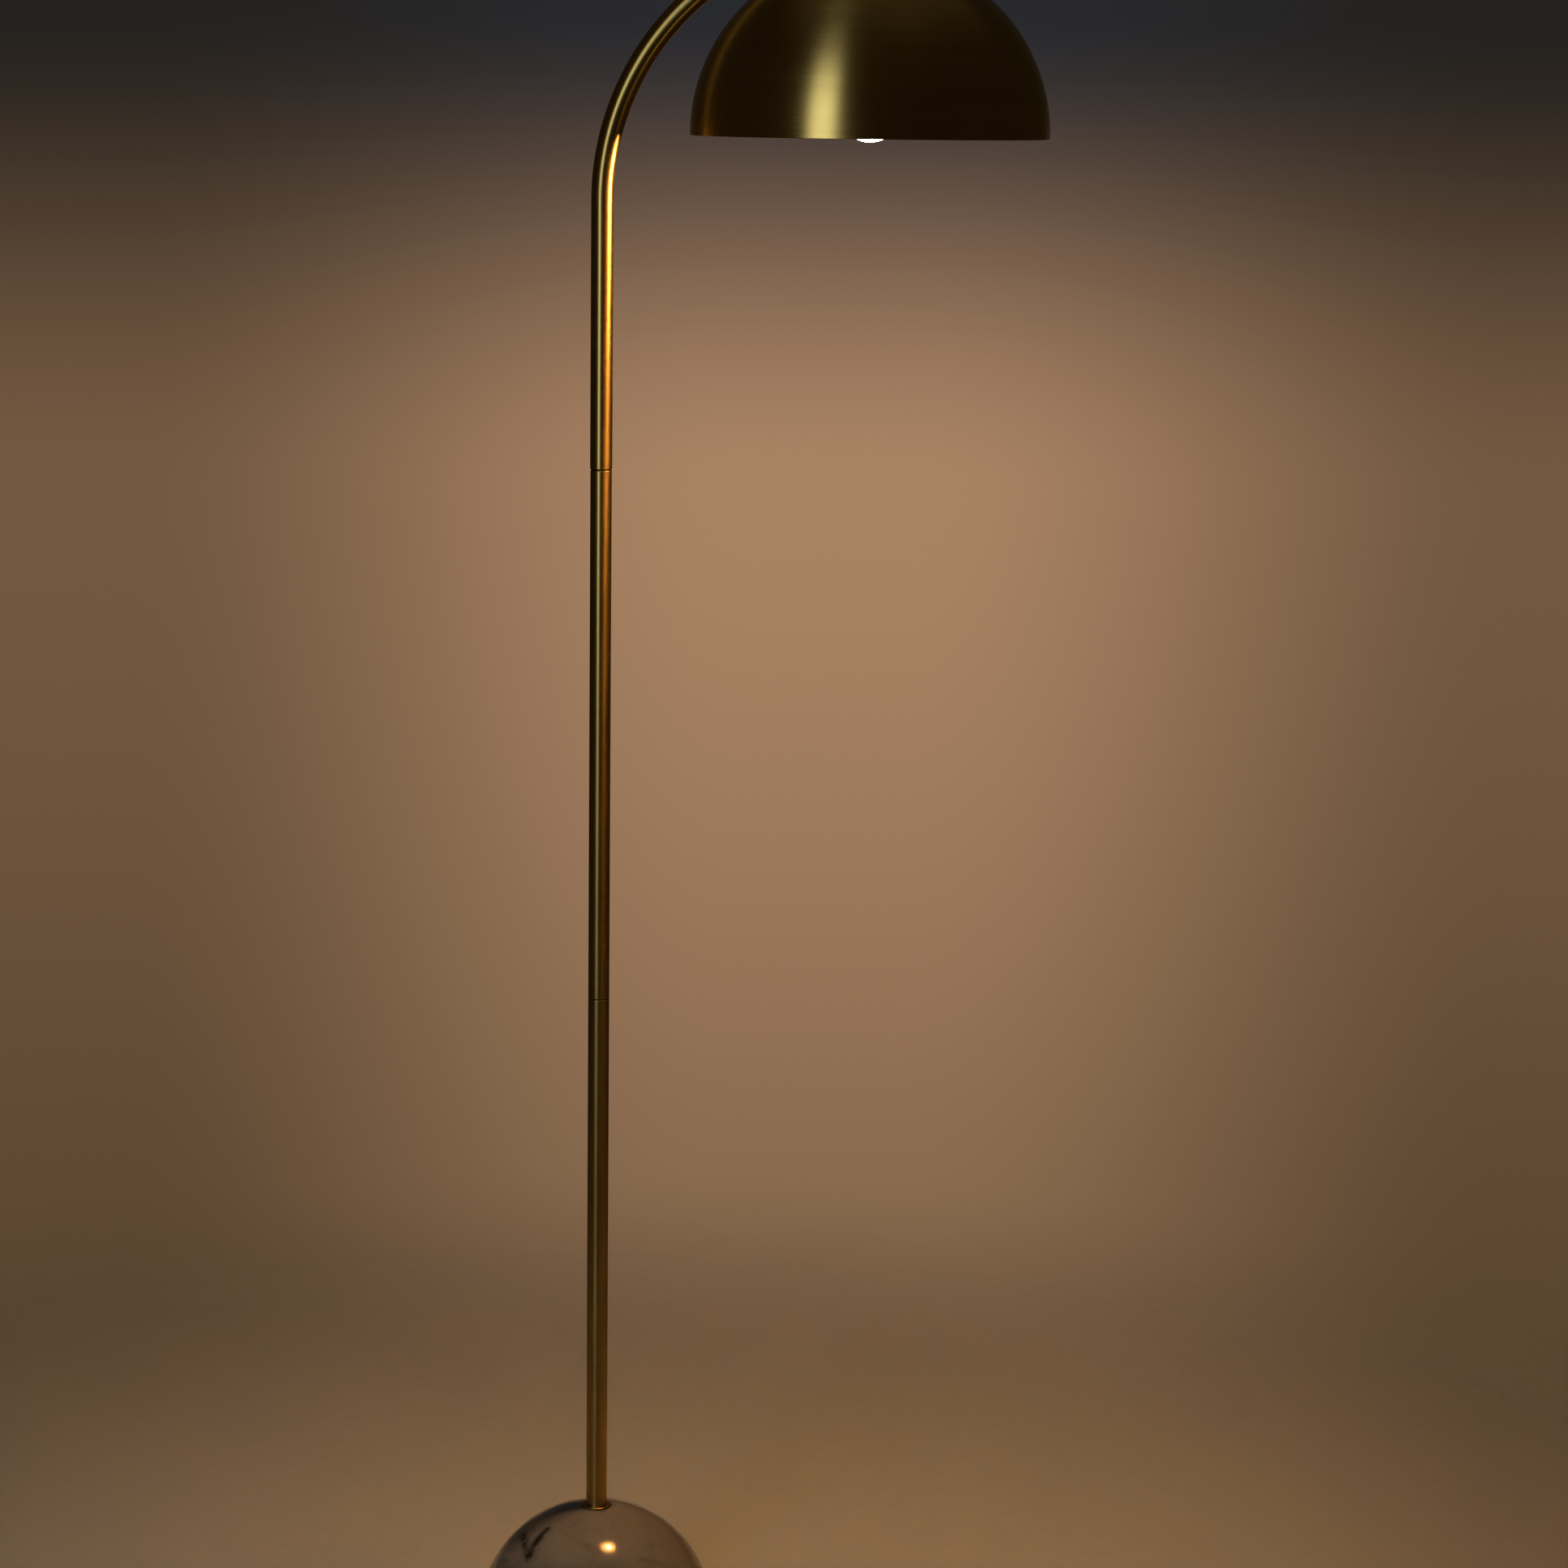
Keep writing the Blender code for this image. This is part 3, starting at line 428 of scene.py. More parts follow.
# %% Build the lathe tree
def new_tree(name, sizes):
    """An empty Geometry Nodes tree with named inputs. sizes is {name: (kind, value)}."""
    tree = bpy.data.node_groups.new(name, "GeometryNodeTree")
    tree.interface.new_socket("Geometry", in_out="INPUT", socket_type="NodeSocketGeometry")
    for label, (kind, value) in sizes.items():
        made = tree.interface.new_socket(label, in_out="INPUT", socket_type=f"NodeSocket{kind}")
        if value is not None:
            made.default_value = value
    tree.interface.new_socket("Geometry", in_out="OUTPUT", socket_type="NodeSocketGeometry")
    board = Board(tree)
    source = board.node("NodeGroupInput")
    inputs = {socket.name: Wire(board, socket) for socket in source.outputs if socket.name}
    return board, inputs


def close_tree(board, geometry, finish):
    """Every tree ends with real geometry and its material."""
    solid = board.add("GeometryNodeRealizeInstances", None, {0: geometry})
    painted = board.add("GeometryNodeSetMaterial", None, {"Geometry": solid, "Material": finish})
    board.node("NodeGroupOutput", None, {0: painted})


def close_smooth(board, geometry, finish):
    """Welds the seams, shades the sheet smooth and closes the tree."""
    inputs = {"Geometry": geometry, "Distance": WELD}
    welded = board.add("GeometryNodeMergeByDistance", None, inputs)
    smooth = board.add("GeometryNodeSetShadeSmooth", None, {"Geometry": welded})
    close_tree(board, smooth, finish)


def note(board, geometry, name, value, kind="FLOAT_VECTOR"):
    """Keeps a value on every point under this name."""
    inputs = {"Geometry": geometry, "Name": name, "Value": value}
    return board.add("GeometryNodeStoreNamedAttribute", {"data_type": kind}, inputs)


WELD = 0.000002
sizes = {"Segments": ("Int", 96), "Points": ("Int", 8), "Finish": ("Material", None)}
lathe, given = new_tree("lathe", sizes)
rows = {"Vertices X": given["Segments"] + 1, "Vertices Y": given["Points"]}
sheet = lathe.add("GeometryNodeMeshGrid", None, rows)
position = lathe.add("GeometryNodeInputPosition")
across, upward, _ = lathe.parts(position)
angle = (across + 0.5) * TURN
row = (upward + 0.5) * (given["Points"] - 1) + 0.5
row = lathe.add("FunctionNodeFloatToInt", {"rounding_mode": "FLOOR"}, {0: row})
sample = {"data_type": "FLOAT_VECTOR"}
inputs = {"Geometry": given["Geometry"], "Value": position, "Index": row}
reach, run, height = lathe.parts(lathe.add("GeometryNodeSampleIndex", sample, inputs))
wound = lathe.join(reach * angle.cosine(), reach * angle.sine(), height)
noted = note(lathe, sheet, "turning", lathe.join(angle.cosine(), angle.sine(), run))
wrapped = lathe.add("GeometryNodeSetPosition", None, {"Geometry": noted, "Position": wound})
close_smooth(lathe, wrapped, given["Finish"])
print("lathe tree has", len(lathe.tree.nodes), "nodes")

# %% [markdown]
# ## Working a tree and finishing a piece
# A modifier's inputs are found by name, set, and then the result is taken as a plain mesh. `piece`
# gives it its body and its finish, and hides the CAD nodes that it stands for.

# %% Make the piece helpers
SHARP = math.radians(40)
pieces_made = []


def link(name, mesh):
    obj = bpy.data.objects.new(name, mesh)
    scene.collection.objects.link(obj)
    return obj


def settle(obj):
    """The object's mesh with its modifiers worked out, as a plain mesh. The object goes."""
    bpy.context.view_layer.update()
    depsgraph = bpy.context.evaluated_depsgraph_get()
    mesh = bpy.data.meshes.new_from_object(obj.evaluated_get(depsgraph))
    bpy.data.objects.remove(obj)
    return mesh


def run_tree(board, mesh, **values):
    """The mesh after a Geometry Nodes tree with these inputs."""
    obj = link("work", mesh)
    modifier = obj.modifiers.new("work", "NODES")
    modifier.node_group = board.tree
    for item in board.tree.interface.items_tree:
        if item.name in values:
            modifier[item.identifier] = values[item.name]
    return settle(obj)


def path_mesh(points):
    """Points joined one after the other by edges."""
    mesh = bpy.data.meshes.new("path")
    mesh.from_pydata(points, [(i, i + 1) for i in range(len(points) - 1)], [])
    return mesh


def written(work, mesh=None):
    """Worked geometry put back in its mesh, or in a new one."""
    mesh = mesh or bpy.data.meshes.new("work")
    work.to_mesh(mesh)
    work.free()
    return mesh


def face_out(mesh):
    """Turns a closed mesh's faces outwards."""
    work = bmesh.new()
    work.from_mesh(mesh)
    if work.calc_volume(signed=True) < 0:
        bmesh.ops.reverse_faces(work, faces=work.faces)
    return written(work, mesh)


def piece(name, mesh, body, finish_slot, finish, *nodes):
    mesh.name = name
    mesh.materials.clear()
    mesh.materials.append(finish)
    mesh.set_sharp_from_angle(angle=SHARP)
    obj = link(name, mesh)
    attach(obj, body)
    if nodes:
        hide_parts(*nodes)
    pieces_made.append(name)
    return obj


def ease(outline, radius, closed, steps=4):
    """Rounds the corners of an outline of (radius, height) points. A short flat frames each curve."""
    made, count = [], len(outline)
    for i, spot in enumerate(outline):
        spot = Vector(spot)
        back = Vector(outline[i - 1]) - spot
        ahead = Vector(outline[(i + 1) % count]) - spot
        end = not closed and i in (0, count - 1)
        if end or min(back.length, ahead.length) < WELD or math.pi - back.angle(ahead) < SHARP / 2:
            made.append(spot)
            continue
        bend = math.pi - back.angle(ahead)
        cut = min(radius * math.tan(bend / 2), 0.3 * back.length, 0.3 * ahead.length)
        true_radius = cut / math.tan(bend / 2)
        inward = (back.normalized() + ahead.normalized()).normalized()
        centre = spot + inward * (true_radius / math.cos(bend / 2))
        start = spot + back.normalized() * cut
        sign = 1 if back.x * ahead.y - back.y * ahead.x > 0 else -1
        arm = start - centre
        made.append(spot + back.normalized() * cut * 1.5)
        for k in range(steps + 1):
            swing = -sign * bend * k / steps
            c, s = math.cos(swing), math.sin(swing)
            made.append(centre + Vector((arm.x * c - arm.y * s, arm.x * s + arm.y * c)))
        made.append(spot + ahead.normalized() * cut * 1.5)
    return made


def placed(mesh, place, lie=None):
    mesh.transform(Matrix.Translation(place) @ (lie or Matrix.Identity(4)))
    return mesh


def turned_mesh(outline, finish, centre=(0, 0, 0), lie=None, segments=96, soft=0.0003):
    """A turned mesh. An outline that starts and ends on the axis is solid, any other is a ring."""
    ring = outline[0][0] > WELD or outline[-1][0] > WELD
    points = ease(outline, soft, ring)
    if ring:
        points.append(points[0])
    run, spots = 0.0, []
    for i, spot in enumerate(points):
        run += (spot - points[i - 1]).length if i else 0.0
        spots.append((max(spot.x, 0.0), run, spot.y))
    sizes = {"Segments": segments, "Points": len(spots)}
    mesh = run_tree(lathe, path_mesh(spots), Finish=finish, **sizes)
    return placed(face_out(mesh), centre, lie)


def turned_piece(name, outline, body, kind, finish, node, *where, **how):
    """Turns an outline and makes it a piece."""
    return piece(name, turned_mesh(outline, finish, *where, **how), body, kind, finish, node)


def axis_spot(z):
    """A point on the shade's upright axis."""
    return (PIVOT.x, 0, z)


ALONG_Y = Matrix.Rotation(QUARTER, 4, "X")
print("helpers ready")

# %% [markdown]
# ## The marble half ball
# The stone is turned from an outline: a sunk seat for the foot ring, the round, a small chamfer at the
# floor and a recess underneath for the clamp. The channel for the lead is then cut from its back edge
# with a Boolean, as a mason would saw it after turning.


# %% Turn the stone
def arc(radius, start, end, steps, centre=(0.0, 0.0)):
    """Points of a round stretch of an outline. Angles are from straight up, clockwise."""
    made = []
    for i in range(steps + 1):
        swing = start + (end - start) * i / steps
        made.append((centre[0] + radius * math.sin(swing), centre[1] + radius * math.cos(swing)))
    return made


def rod(radius, length, place=(0, 0, 0), lie=None, segments=64):
    """A round or, with six segments, a hexagon bar about its own middle."""
    work = bmesh.new()
    size = {"radius1": radius, "radius2": radius, "depth": length}
    bmesh.ops.create_cone(work, cap_ends=True, segments=segments, **size)
    return placed(written(work), place, lie)


def block(size, place=(0, 0, 0), lie=None):
    work = bmesh.new()
    bmesh.ops.create_cube(work, size=1)
    bmesh.ops.scale(work, vec=size, verts=work.verts)
    return placed(written(work), place, lie)


def carve(mesh, *steps):
    """Joins, cuts or keeps the shared part, one (operation, mesh) after the other."""
    for operation, other in steps:
        obj, tool = link("work", mesh), link("tool", other)
        modifier = obj.modifiers.new("work", "BOOLEAN")
        modifier.operation, modifier.solver, modifier.object = operation, "EXACT", tool
        mesh = settle(obj)
        bpy.data.objects.remove(tool)
    return mesh


SLIVER = 0.00002
CUT, JOIN, SHARED = "DIFFERENCE", "UNION", "INTERSECT"


def bevelled(mesh, width, steps=2):
    """Breaks the sharp edges of a cut shape, then clears away any slivers."""
    obj = link("work", mesh)
    weld = obj.modifiers.new("weld", "WELD")
    weld.merge_threshold = SLIVER
    edge = obj.modifiers.new("edge", "BEVEL")
    edge.width, edge.segments, edge.limit_method, edge.angle_limit = width, steps, "ANGLE", SHARP
    mesh = settle(obj)
    work = bmesh.new()
    work.from_mesh(mesh)
    bmesh.ops.remove_doubles(work, verts=work.verts, dist=SLIVER)
    bmesh.ops.dissolve_degenerate(work, edges=work.edges, dist=SLIVER)
    work.verts.index_update()
    seen, twins = {}, []
    for face in work.faces:
        corners = frozenset(vert.index for vert in face.verts)
        if corners in seen:
            twins += [face, seen[corners]]
        seen[corners] = face
    bmesh.ops.delete(work, geom=list(set(twins)), context="FACES")
    bmesh.ops.holes_fill(work, edges=[edge for edge in work.edges if edge.is_boundary], sides=0)
    written(work, mesh).shade_smooth()
    return mesh


stone_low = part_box("marble_base")[0].z
seat_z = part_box("foot_collar")[0].z - FIT
seat_radius, bore, recess, recess_tall, edge = 0.0155, 0.0058, 0.030, 0.024, 0.003
top, bottom = math.asin(seat_radius / STONE_RADIUS), QUARTER - edge / STONE_RADIUS
outline = [(bore, seat_z), (seat_radius, seat_z)]
outline += arc(STONE_RADIUS, top, bottom, 72, (0, stone_low))
outline += [(STONE_RADIUS - edge, stone_low), (recess, stone_low)]
outline += [(recess, stone_low + recess_tall), (bore, stone_low + recess_tall)]
stone = turned_mesh(outline, marble, segments=160, soft=0.0010)
channel = block((0.009, STONE_RADIUS, 0.019), (0, recess / 2 + STONE_RADIUS / 2, stone_low))
stone = carve(stone, (CUT, channel))
piece("marble_half_ball", stone, "base", "marble", marble, "marble_base")
print("stone", len(stone.polygons), "faces")

# %% [markdown]
# ## Under and round the stone
# A felt disc that keeps the stone off the floor, and at the back a rubber gland in the mouth of the
# channel.

# %% Turn the felt and the gland
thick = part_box("floor_pad")[1].z
pad_radius = half("floor_pad").x
outline = [(0, thick), (pad_radius, thick), (pad_radius, 0), (0, 0)]
turned_piece("felt_disc", outline, "base", "felt", felt, "floor_pad", segments=160, soft=0.0011)

gland_low, gland_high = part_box("cord_grommet")
gland_long = gland_high.y - gland_low.y
outline = [(0.0022, 0), (0.0040, 0)]
grooves = ((0.0040, 0.0058), (0.0034, 0.0050), (0.0034, 0.0036), (0.0040, 0.0026), (0.0038, 0.0012))
outline += [(wide, gland_long - depth) for wide, depth in grooves]
outline += [(0.0030, gland_long), (0.0022, gland_long)]
gland_at = (0, gland_low.y, middle("cord_grommet").z)
lie = Matrix.Rotation(-QUARTER, 4, "X")
turned_piece("cord_gland", outline, "base", "rubber", rubber, "cord_grommet", gland_at, lie, 64, 0.0004)
print("felt and gland made")

# %% [markdown]
# ## The foot ring
# A little brass ring with a half-round edge, sunk by a third of its height in the stone.

# %% Turn the foot ring
ring_low, ring_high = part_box("foot_collar")
ring_tall = ring_high.z - ring_low.z
ring_reach, ring_bore = half("foot_collar").x, POST_RADIUS + FIT
outline = [(ring_bore, ring_high.z)]
outline += arc(ring_tall / 2, 0, math.pi, 14, (ring_reach - ring_tall / 2, ring_low.z + ring_tall / 2))
outline += [(ring_bore, ring_low.z)]
owner = ("base", "brass", turned_brass, "foot_collar")
turned_piece("foot_ring", outline, *owner, segments=128, soft=0.00015)
print("foot ring", round(2000 * ring_reach, 1), "mm across")

# %% [markdown]
# ## Tube along a path
# The post's two straight lengths and the bent one are the same tube, so one Geometry Nodes tree draws
# all three along a path. It sweeps one circle for the outside and one for the bore. Near each end the
# two close in on each other in a quarter round, which makes the smooth lip seen at the joints.

# %% Build the tube tree
sizes = {"Radius": ("Float", 0.01), "Wall": ("Float", 0.0012), "Lip": ("Float", 0.0006)}
sizes.update({"Around": ("Int", 64), "Finish": ("Material", None)})
tuber, given = new_tree("tube_on_path", sizes)
path = tuber.add("GeometryNodeMeshToCurve", None, {"Mesh": given["Geometry"]})
spline = tuber.node("GeometryNodeSplineParameter")
along = Wire(tuber, spline.outputs["Length"])
total = tuber.add("GeometryNodeSplineLength")
to_end = along.least(total - along)
closeness = (1 - to_end / given["Lip"]).most(0.0).least(1.0)
lip_drop = given["Lip"] * (1 - (1 - closeness * closeness).most(0.0).root())
profile = tuber.add("GeometryNodeCurvePrimitiveCircle", None, {"Resolution": given["Around"]})
measured = note(tuber, path, "run", along, "FLOAT")
profile = note(tuber, profile, "round", tuber.add("GeometryNodeInputPosition"))
skins = []
for drop in (given["Radius"] - lip_drop, given["Radius"] - given["Wall"] + lip_drop):
    swept = {"Curve": measured, "Profile Curve": profile, "Scale": drop}
    skins.append(tuber.add("GeometryNodeCurveToMesh", None, swept))
skins[1] = tuber.add("GeometryNodeFlipFaces", None, {"Mesh": skins[1]})
both = tuber.node("GeometryNodeJoinGeometry")
for skin in reversed(skins):
    tuber.tree.links.new(skin.socket, both.inputs[0])

def read(name, kind):
    return tuber.add("GeometryNodeInputNamedAttribute", {"data_type": kind}, {"Name": name})


cos_read, sin_read, _ = tuber.parts(read("round", "FLOAT_VECTOR"))
turning = tuber.join(cos_read, sin_read, read("run", "FLOAT"))
noted = note(tuber, Wire(tuber, both.outputs[0]), "turning", turning)
close_smooth(tuber, noted, given["Finish"])
print("tube tree has", len(tuber.tree.nodes), "nodes")


# %% [markdown]
# ## The straight lengths and the bent one
# The paths only need points where something happens: close together at the lips, and evenly along the
# bend. The bend is a true quarter circle but for its last three degrees, where the fork goes on
# straight. A shader takes the direction of its brushing from a mesh's texture space, so that space is
# pushed far to the left: seen from there, the direction runs round the tube at every point.

# %% Draw the three tubes
LIP = 0.0006
FAR_LEFT = (-10, 0, 0)


def lip_steps():
    """Distances from a tube's end that catch its round lip."""
    return [LIP * (1 - math.cos(QUARTER * k / 6)) for k in range(7)] + [LIP * 2.2, LIP * 6]


def tube(name, points, radius, body, finish, *nodes, lip=LIP, around=64, wall=0.0012, cut=()):
    sizes = {"Radius": radius, "Wall": wall, "Lip": lip, "Around": around}
    mesh = run_tree(tuber, path_mesh(points), Finish=finish, **sizes)
    mesh = carve(face_out(mesh), *cut)
    mesh.use_auto_texspace = False
    mesh.texspace_location = FAR_LEFT
    mesh.texspace_size = (1, 1, 1)
    return piece(name, mesh, body, "brass", finish, *nodes)


def straight(low, high):
    near = [low + d for d in lip_steps()]
    far = [high - d for d in reversed(lip_steps())]
    return [(0, 0, z) for z in near + [(low + high) / 2] + far]


for name, node in (("lower_tube", "lower_post"), ("middle_tube", "middle_post")):
    low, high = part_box(node)
    tube(name, straight(low.z, high.z), POST_RADIUS, "base", tube_brass, node)

leg_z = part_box("arc_tube")[0].z
bend_radius = PIVOT.x
sweep = math.radians(87)
bend_z = PIVOT.z - bend_radius / math.cos(QUARTER - sweep)
lift = bend_z - leg_z
reaches = lip_steps() + [lift * k / 6 for k in range(1, 7)]
bend_long = bend_radius * sweep
steps = 72
reaches += [lift + bend_long * k / steps for k in range(1, steps)]
reaches += [lift + bend_long - d for d in reversed(lip_steps())]


def on_arc(reach):
    """The point this far along the arc's middle line."""
    if reach <= lift:
        return (0, 0, leg_z + reach)
    swing = (reach - lift) / bend_radius
    return (bend_radius * (1 - math.cos(swing)), 0, bend_z + bend_radius * math.sin(swing))


def from_pivot(back, side=0.0, up=0.0):
    """A point given from the tilt pivot: back along the arc's end, sideways and up."""
    c, s = math.sin(sweep), math.cos(sweep)
    return (PIVOT.x - back * c - up * s, side, PIVOT.z - back * s + up * c)


fork_reach = bend_radius * math.tan(QUARTER - sweep)
grub_back = fork_reach + 0.0055
grub_hole = rod(GRUB_HOLE, 0.008, from_pivot(grub_back, 0.0088), ALONG_Y, 32)
points = [on_arc(r) for r in sorted(set(reaches))]
cut = [(CUT, grub_hole)]
tube("bent_tube", points, ARC_RADIUS, "arc", tube_brass, "arc_tube", cut=cut)
washer_at = (0, 0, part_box("swivel_washer")[0].z)
outline = [(0.0063, 0.0006), (0.0096, 0.0006), (0.0096, 0), (0.0063, 0)]
turned_piece("swivel_gasket", outline, "base", "nylon", nylon, "swivel_washer", washer_at, soft=0.0002)
print("tubes drawn, bend radius", round(bend_radius, 4))

# %% [markdown]
# ## The fork at the arc's end
# A plug with two ears. It is a round bar with a round nose, a shoulder as wide as the tube, a slot
# between the ears and a flat round the screw on each side. Cutting it from a bar with Booleans and
# then breaking the edges is just how it would be milled.

# %% Mill the fork and the knuckle
EAR = 0.0085
slope = Matrix.Rotation(-(QUARTER - sweep), 4, "Y")
lie_back = slope @ Matrix.Rotation(QUARTER, 4, "Y")
back = fork_reach + 0.008
nose_long, nose_mid = back + EAR + 0.004, from_pivot((back - EAR) / 2 - 0.002)
nose = carve(
    rod(EAR, 0.03, PIVOT, ALONG_Y, 96),
    (JOIN, block((back, 0.03, EAR * 2), from_pivot(back / 2), slope)),
    (SHARED, rod(EAR - 0.00001, nose_long, nose_mid, lie_back, 96)),
)
shoulder, seat, ear_out = 0.0018, 0.0052, Vector((0, 0.010, 0))
shoulder_at = from_pivot(fork_reach - 0.0005 - shoulder / 2)
fork = carve(
    nose,
    (JOIN, rod(ARC_RADIUS, shoulder, shoulder_at, lie_back, 96)),
    (CUT, block((0.0184, 0.0098, 0.032), PIVOT, slope)),
    (CUT, rod(PIN_HOLE, 0.032, PIVOT, ALONG_Y, 48)),
    (CUT, rod(seat, 0.004, PIVOT + ear_out, ALONG_Y, 64)),
    (CUT, rod(seat, 0.004, PIVOT - ear_out, ALONG_Y, 64)),
    (CUT, rod(LEAD_HOLE, 0.030, from_pivot(back), lie_back, 32)),
    (CUT, grub_hole),
)
BREAK = 0.00025
piece("end_fork", bevelled(fork, BREAK), "arc", "brass", plain_brass, "arc_end_fork")

foot_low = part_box("shade_knuckle")[0].z
neck_at = axis_spot((PIVOT.z + foot_low + 0.001) / 2)
knuckle = carve(
    rod(0.0075, 0.0042, axis_spot(foot_low + 0.0021), None, 96),
    (JOIN, rod(0.0080, 0.0076, PIVOT, ALONG_Y, 96)),
    (JOIN, block((0.012, 0.0074, PIVOT.z - foot_low - 0.001), neck_at)),
    (CUT, rod(PIN_HOLE, 0.016, PIVOT, ALONG_Y, 48)),
    (CUT, rod(PIPE_HOLE, 0.0064, axis_spot(foot_low), None, 48)),
    (CUT, rod(LEAD_HOLE, 0.010, PIVOT - Vector((0, 0, 0.0118)), None, 32)),
)
window_start, window_end = Vector((-0.0095, 0, 0.0010)), Vector((0, 0, -0.0075))
window_run = window_end - window_start
slant = window_run.to_track_quat("Z", "Y").to_matrix().to_4x4()
window_long = window_run.length + 0.004
window_mid = PIVOT + window_start + window_run.normalized() * (window_long / 2 - 0.004)
knuckle = carve(knuckle, (CUT, rod(0.0021, window_long, window_mid, slant, 32)))
piece("tilt_knuckle", bevelled(knuckle, BREAK), "shade", "brass", plain_brass, "shade_knuckle")
print("fork", len(fork.polygons), "knuckle", len(knuckle.polygons), "faces")

# %% [markdown]
# ## The tilt screw, its washers and its nut
# The screw is turned and then slotted. A hexagon nut is a six-sided bar whose corners were turned off
# on a lathe, so the shape shared by a bar and a turned barrel gives its curved chamfers.

# %% Turn and cut the fastenings
reach, head, shank = 0.0083, 0.002, 0.002
outline = [(0, reach + head), (0.0036, reach + head), (0.0043, reach + 0.0012), (0.0045, reach)]
outline += [(shank, reach), (shank, -reach - 0.0016), (0.0014, -reach - 0.0022)]
outline += [(0, -reach - 0.0022)]
screw = turned_mesh(outline, turned_brass, PIVOT, ALONG_Y, 64, 0.0005)
slot_at, slot_turn = PIVOT - Vector((0, reach + head, 0)), Matrix.Rotation(0.5, 4, "Y")
slot_cut = block((0.012, 0.0022, 0.0009), slot_at, slot_turn)
screw = carve(screw, (CUT, slot_cut))
piece("tilt_screw", screw, "arc", "brass", turned_brass, "pivot_screw")


def hexagon_nut(corner, tall, bore, place, lie, spin=0.0):
    """A nut that stands on its own origin, chamfered on both faces."""
    bar = rod(corner, tall, (0, 0, tall / 2), Matrix.Rotation(spin, 4, "Z"), 6)
    face, drop = corner * 0.87, corner * 0.13
    barrel = [(0, tall), (face, tall), (corner, tall - drop), (corner, drop), (face, 0), (0, 0)]
    shape = turned_mesh(barrel, turned_brass, segments=96, soft=0.0001)
    hole = rod(bore, tall * 3, (0, 0, 0), None, 48)
    mesh = bevelled(carve(bar, (SHARED, shape), (CUT, hole)), 0.0001)
    return placed(mesh, place, lie)


low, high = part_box("pivot_nut")
nut_at = PIVOT + Vector((0, high.y, 0))
nut = hexagon_nut(0.0043, high.y - low.y, PIN_HOLE, nut_at, ALONG_Y, QUARTER)
piece("tilt_nut", nut, "arc", "brass", plain_brass, "pivot_nut")
low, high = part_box("shade_nut")
nut = hexagon_nut(0.0081, high.z - low.z, PIPE_HOLE, axis_spot(low.z), None, QUARTER)
piece("shade_lock_nut", nut, "shade", "brass", plain_brass, "shade_nut")

for end, node in (("front", "friction_washer_front"), ("back", "friction_washer_rear")):
    low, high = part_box(node)
    thick, outer = high.y - low.y, 0.0075
    outline = [(PIN_HOLE, 0), (outer, 0), (outer, thick), (PIN_HOLE, thick)]
    place = PIVOT + Vector((0, high.y, 0))
    name = f"tilt_washer_{end}"
    turned_piece(name, outline, "arc", "fibre", fibre, node, place, ALONG_Y, soft=0.00015)

low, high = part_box("fork_grub_screw")
grub_at = (((low + high) / 2).x, high.y, ((low + high) / 2).z)
long = high.y - low.y
outline = [(0, 0), (0.0012, 0), (0.0015, 0.0004), (0.0015, long - 0.0003), (0.0012, long), (0, long)]
grub = turned_mesh(outline, zinc, grub_at, ALONG_Y, 48, 0.0001)
grub = carve(grub, (CUT, rod(0.0008, 0.004, grub_at, ALONG_Y, 6)))
piece("set_screw", grub, "arc", "steel", zinc, "fork_grub_screw")
print("fastenings made")

# %% [markdown]
# ## The shade
# The shade is a half ball spun from 1 mm sheet over a former. Its outline follows a rule: a quarter
# circle outside, a short upright band, the edge folded back on itself as a hem, and the same quarter
# circle 1 mm smaller inside. The lathe tree winds it round in 224 steps, so that its edge is round
# from any side.

# %% Spin the shade
wall, hem_wall, hem_tall = 0.001, 0.0022, 0.003
inner, hem_top = DOME_RADIUS - wall, hem_tall - SKIRT
outline = arc(DOME_RADIUS, math.asin(PIPE_HOLE / DOME_RADIUS), QUARTER, 90)
outline += [(DOME_RADIUS, -SKIRT), (DOME_RADIUS - hem_wall, -SKIRT)]
outline += [(DOME_RADIUS - hem_wall, hem_top)]
outline += arc(inner, QUARTER - (hem_top + 0.0012) / inner, math.asin(PIPE_HOLE / inner), 90)
owner = ("shade", "dome_brass", dome_brass, "dome_shade")
place = (DOME.x, 0, DOME_CENTRE_Z)
shade = turned_piece("spun_shade", outline, *owner, place, segments=224, soft=0.0010)

cap_reach = half("shade_cap").x
drop = DOME_RADIUS - math.sqrt(DOME_RADIUS**2 - cap_reach**2)
seat = axis_spot(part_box("shade_cap")[0].z + drop)
outline = [(PIPE_HOLE, 0.0025), (0.0085, 0.0025), (0.0105, 0.0023), (0.0122, 0.0016), (0.0135, 0.0006)]
outline += [(cap_reach, FIT - drop), (cap_reach, -drop), (PIPE_HOLE, 0)]
turned_piece("crown_cap", outline, "shade", "brass", turned_brass, "shade_cap", seat, soft=0.0006)
print("shade", len(shade.data.polygons), "faces")

# %% [markdown]
# ## The lampholder
# A pressed brass cup and shell of the common turn-key kind, with a fibre tube inside. The shell has
# two raised beads, pressed in to stiffen it, and a hole for the key's shaft.

# %% Turn the lampholder
cup_at = axis_spot(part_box("socket_cap")[0].z)
outline = [(PIPE_HOLE, 0.0218), (0.0075, 0.0218), (0.0080, 0.0140), (0.0140, 0.0110), (0.0170, 0.0060)]
outline += [(0.0178, 0.0), (0.0168, 0.0), (0.0160, 0.0055), (0.0133, 0.0100), (PIPE_HOLE, 0.0125)]
turned_piece("holder_cup", outline, "shade", "brass", turned_brass, "socket_cap", cup_at, soft=0.0015)

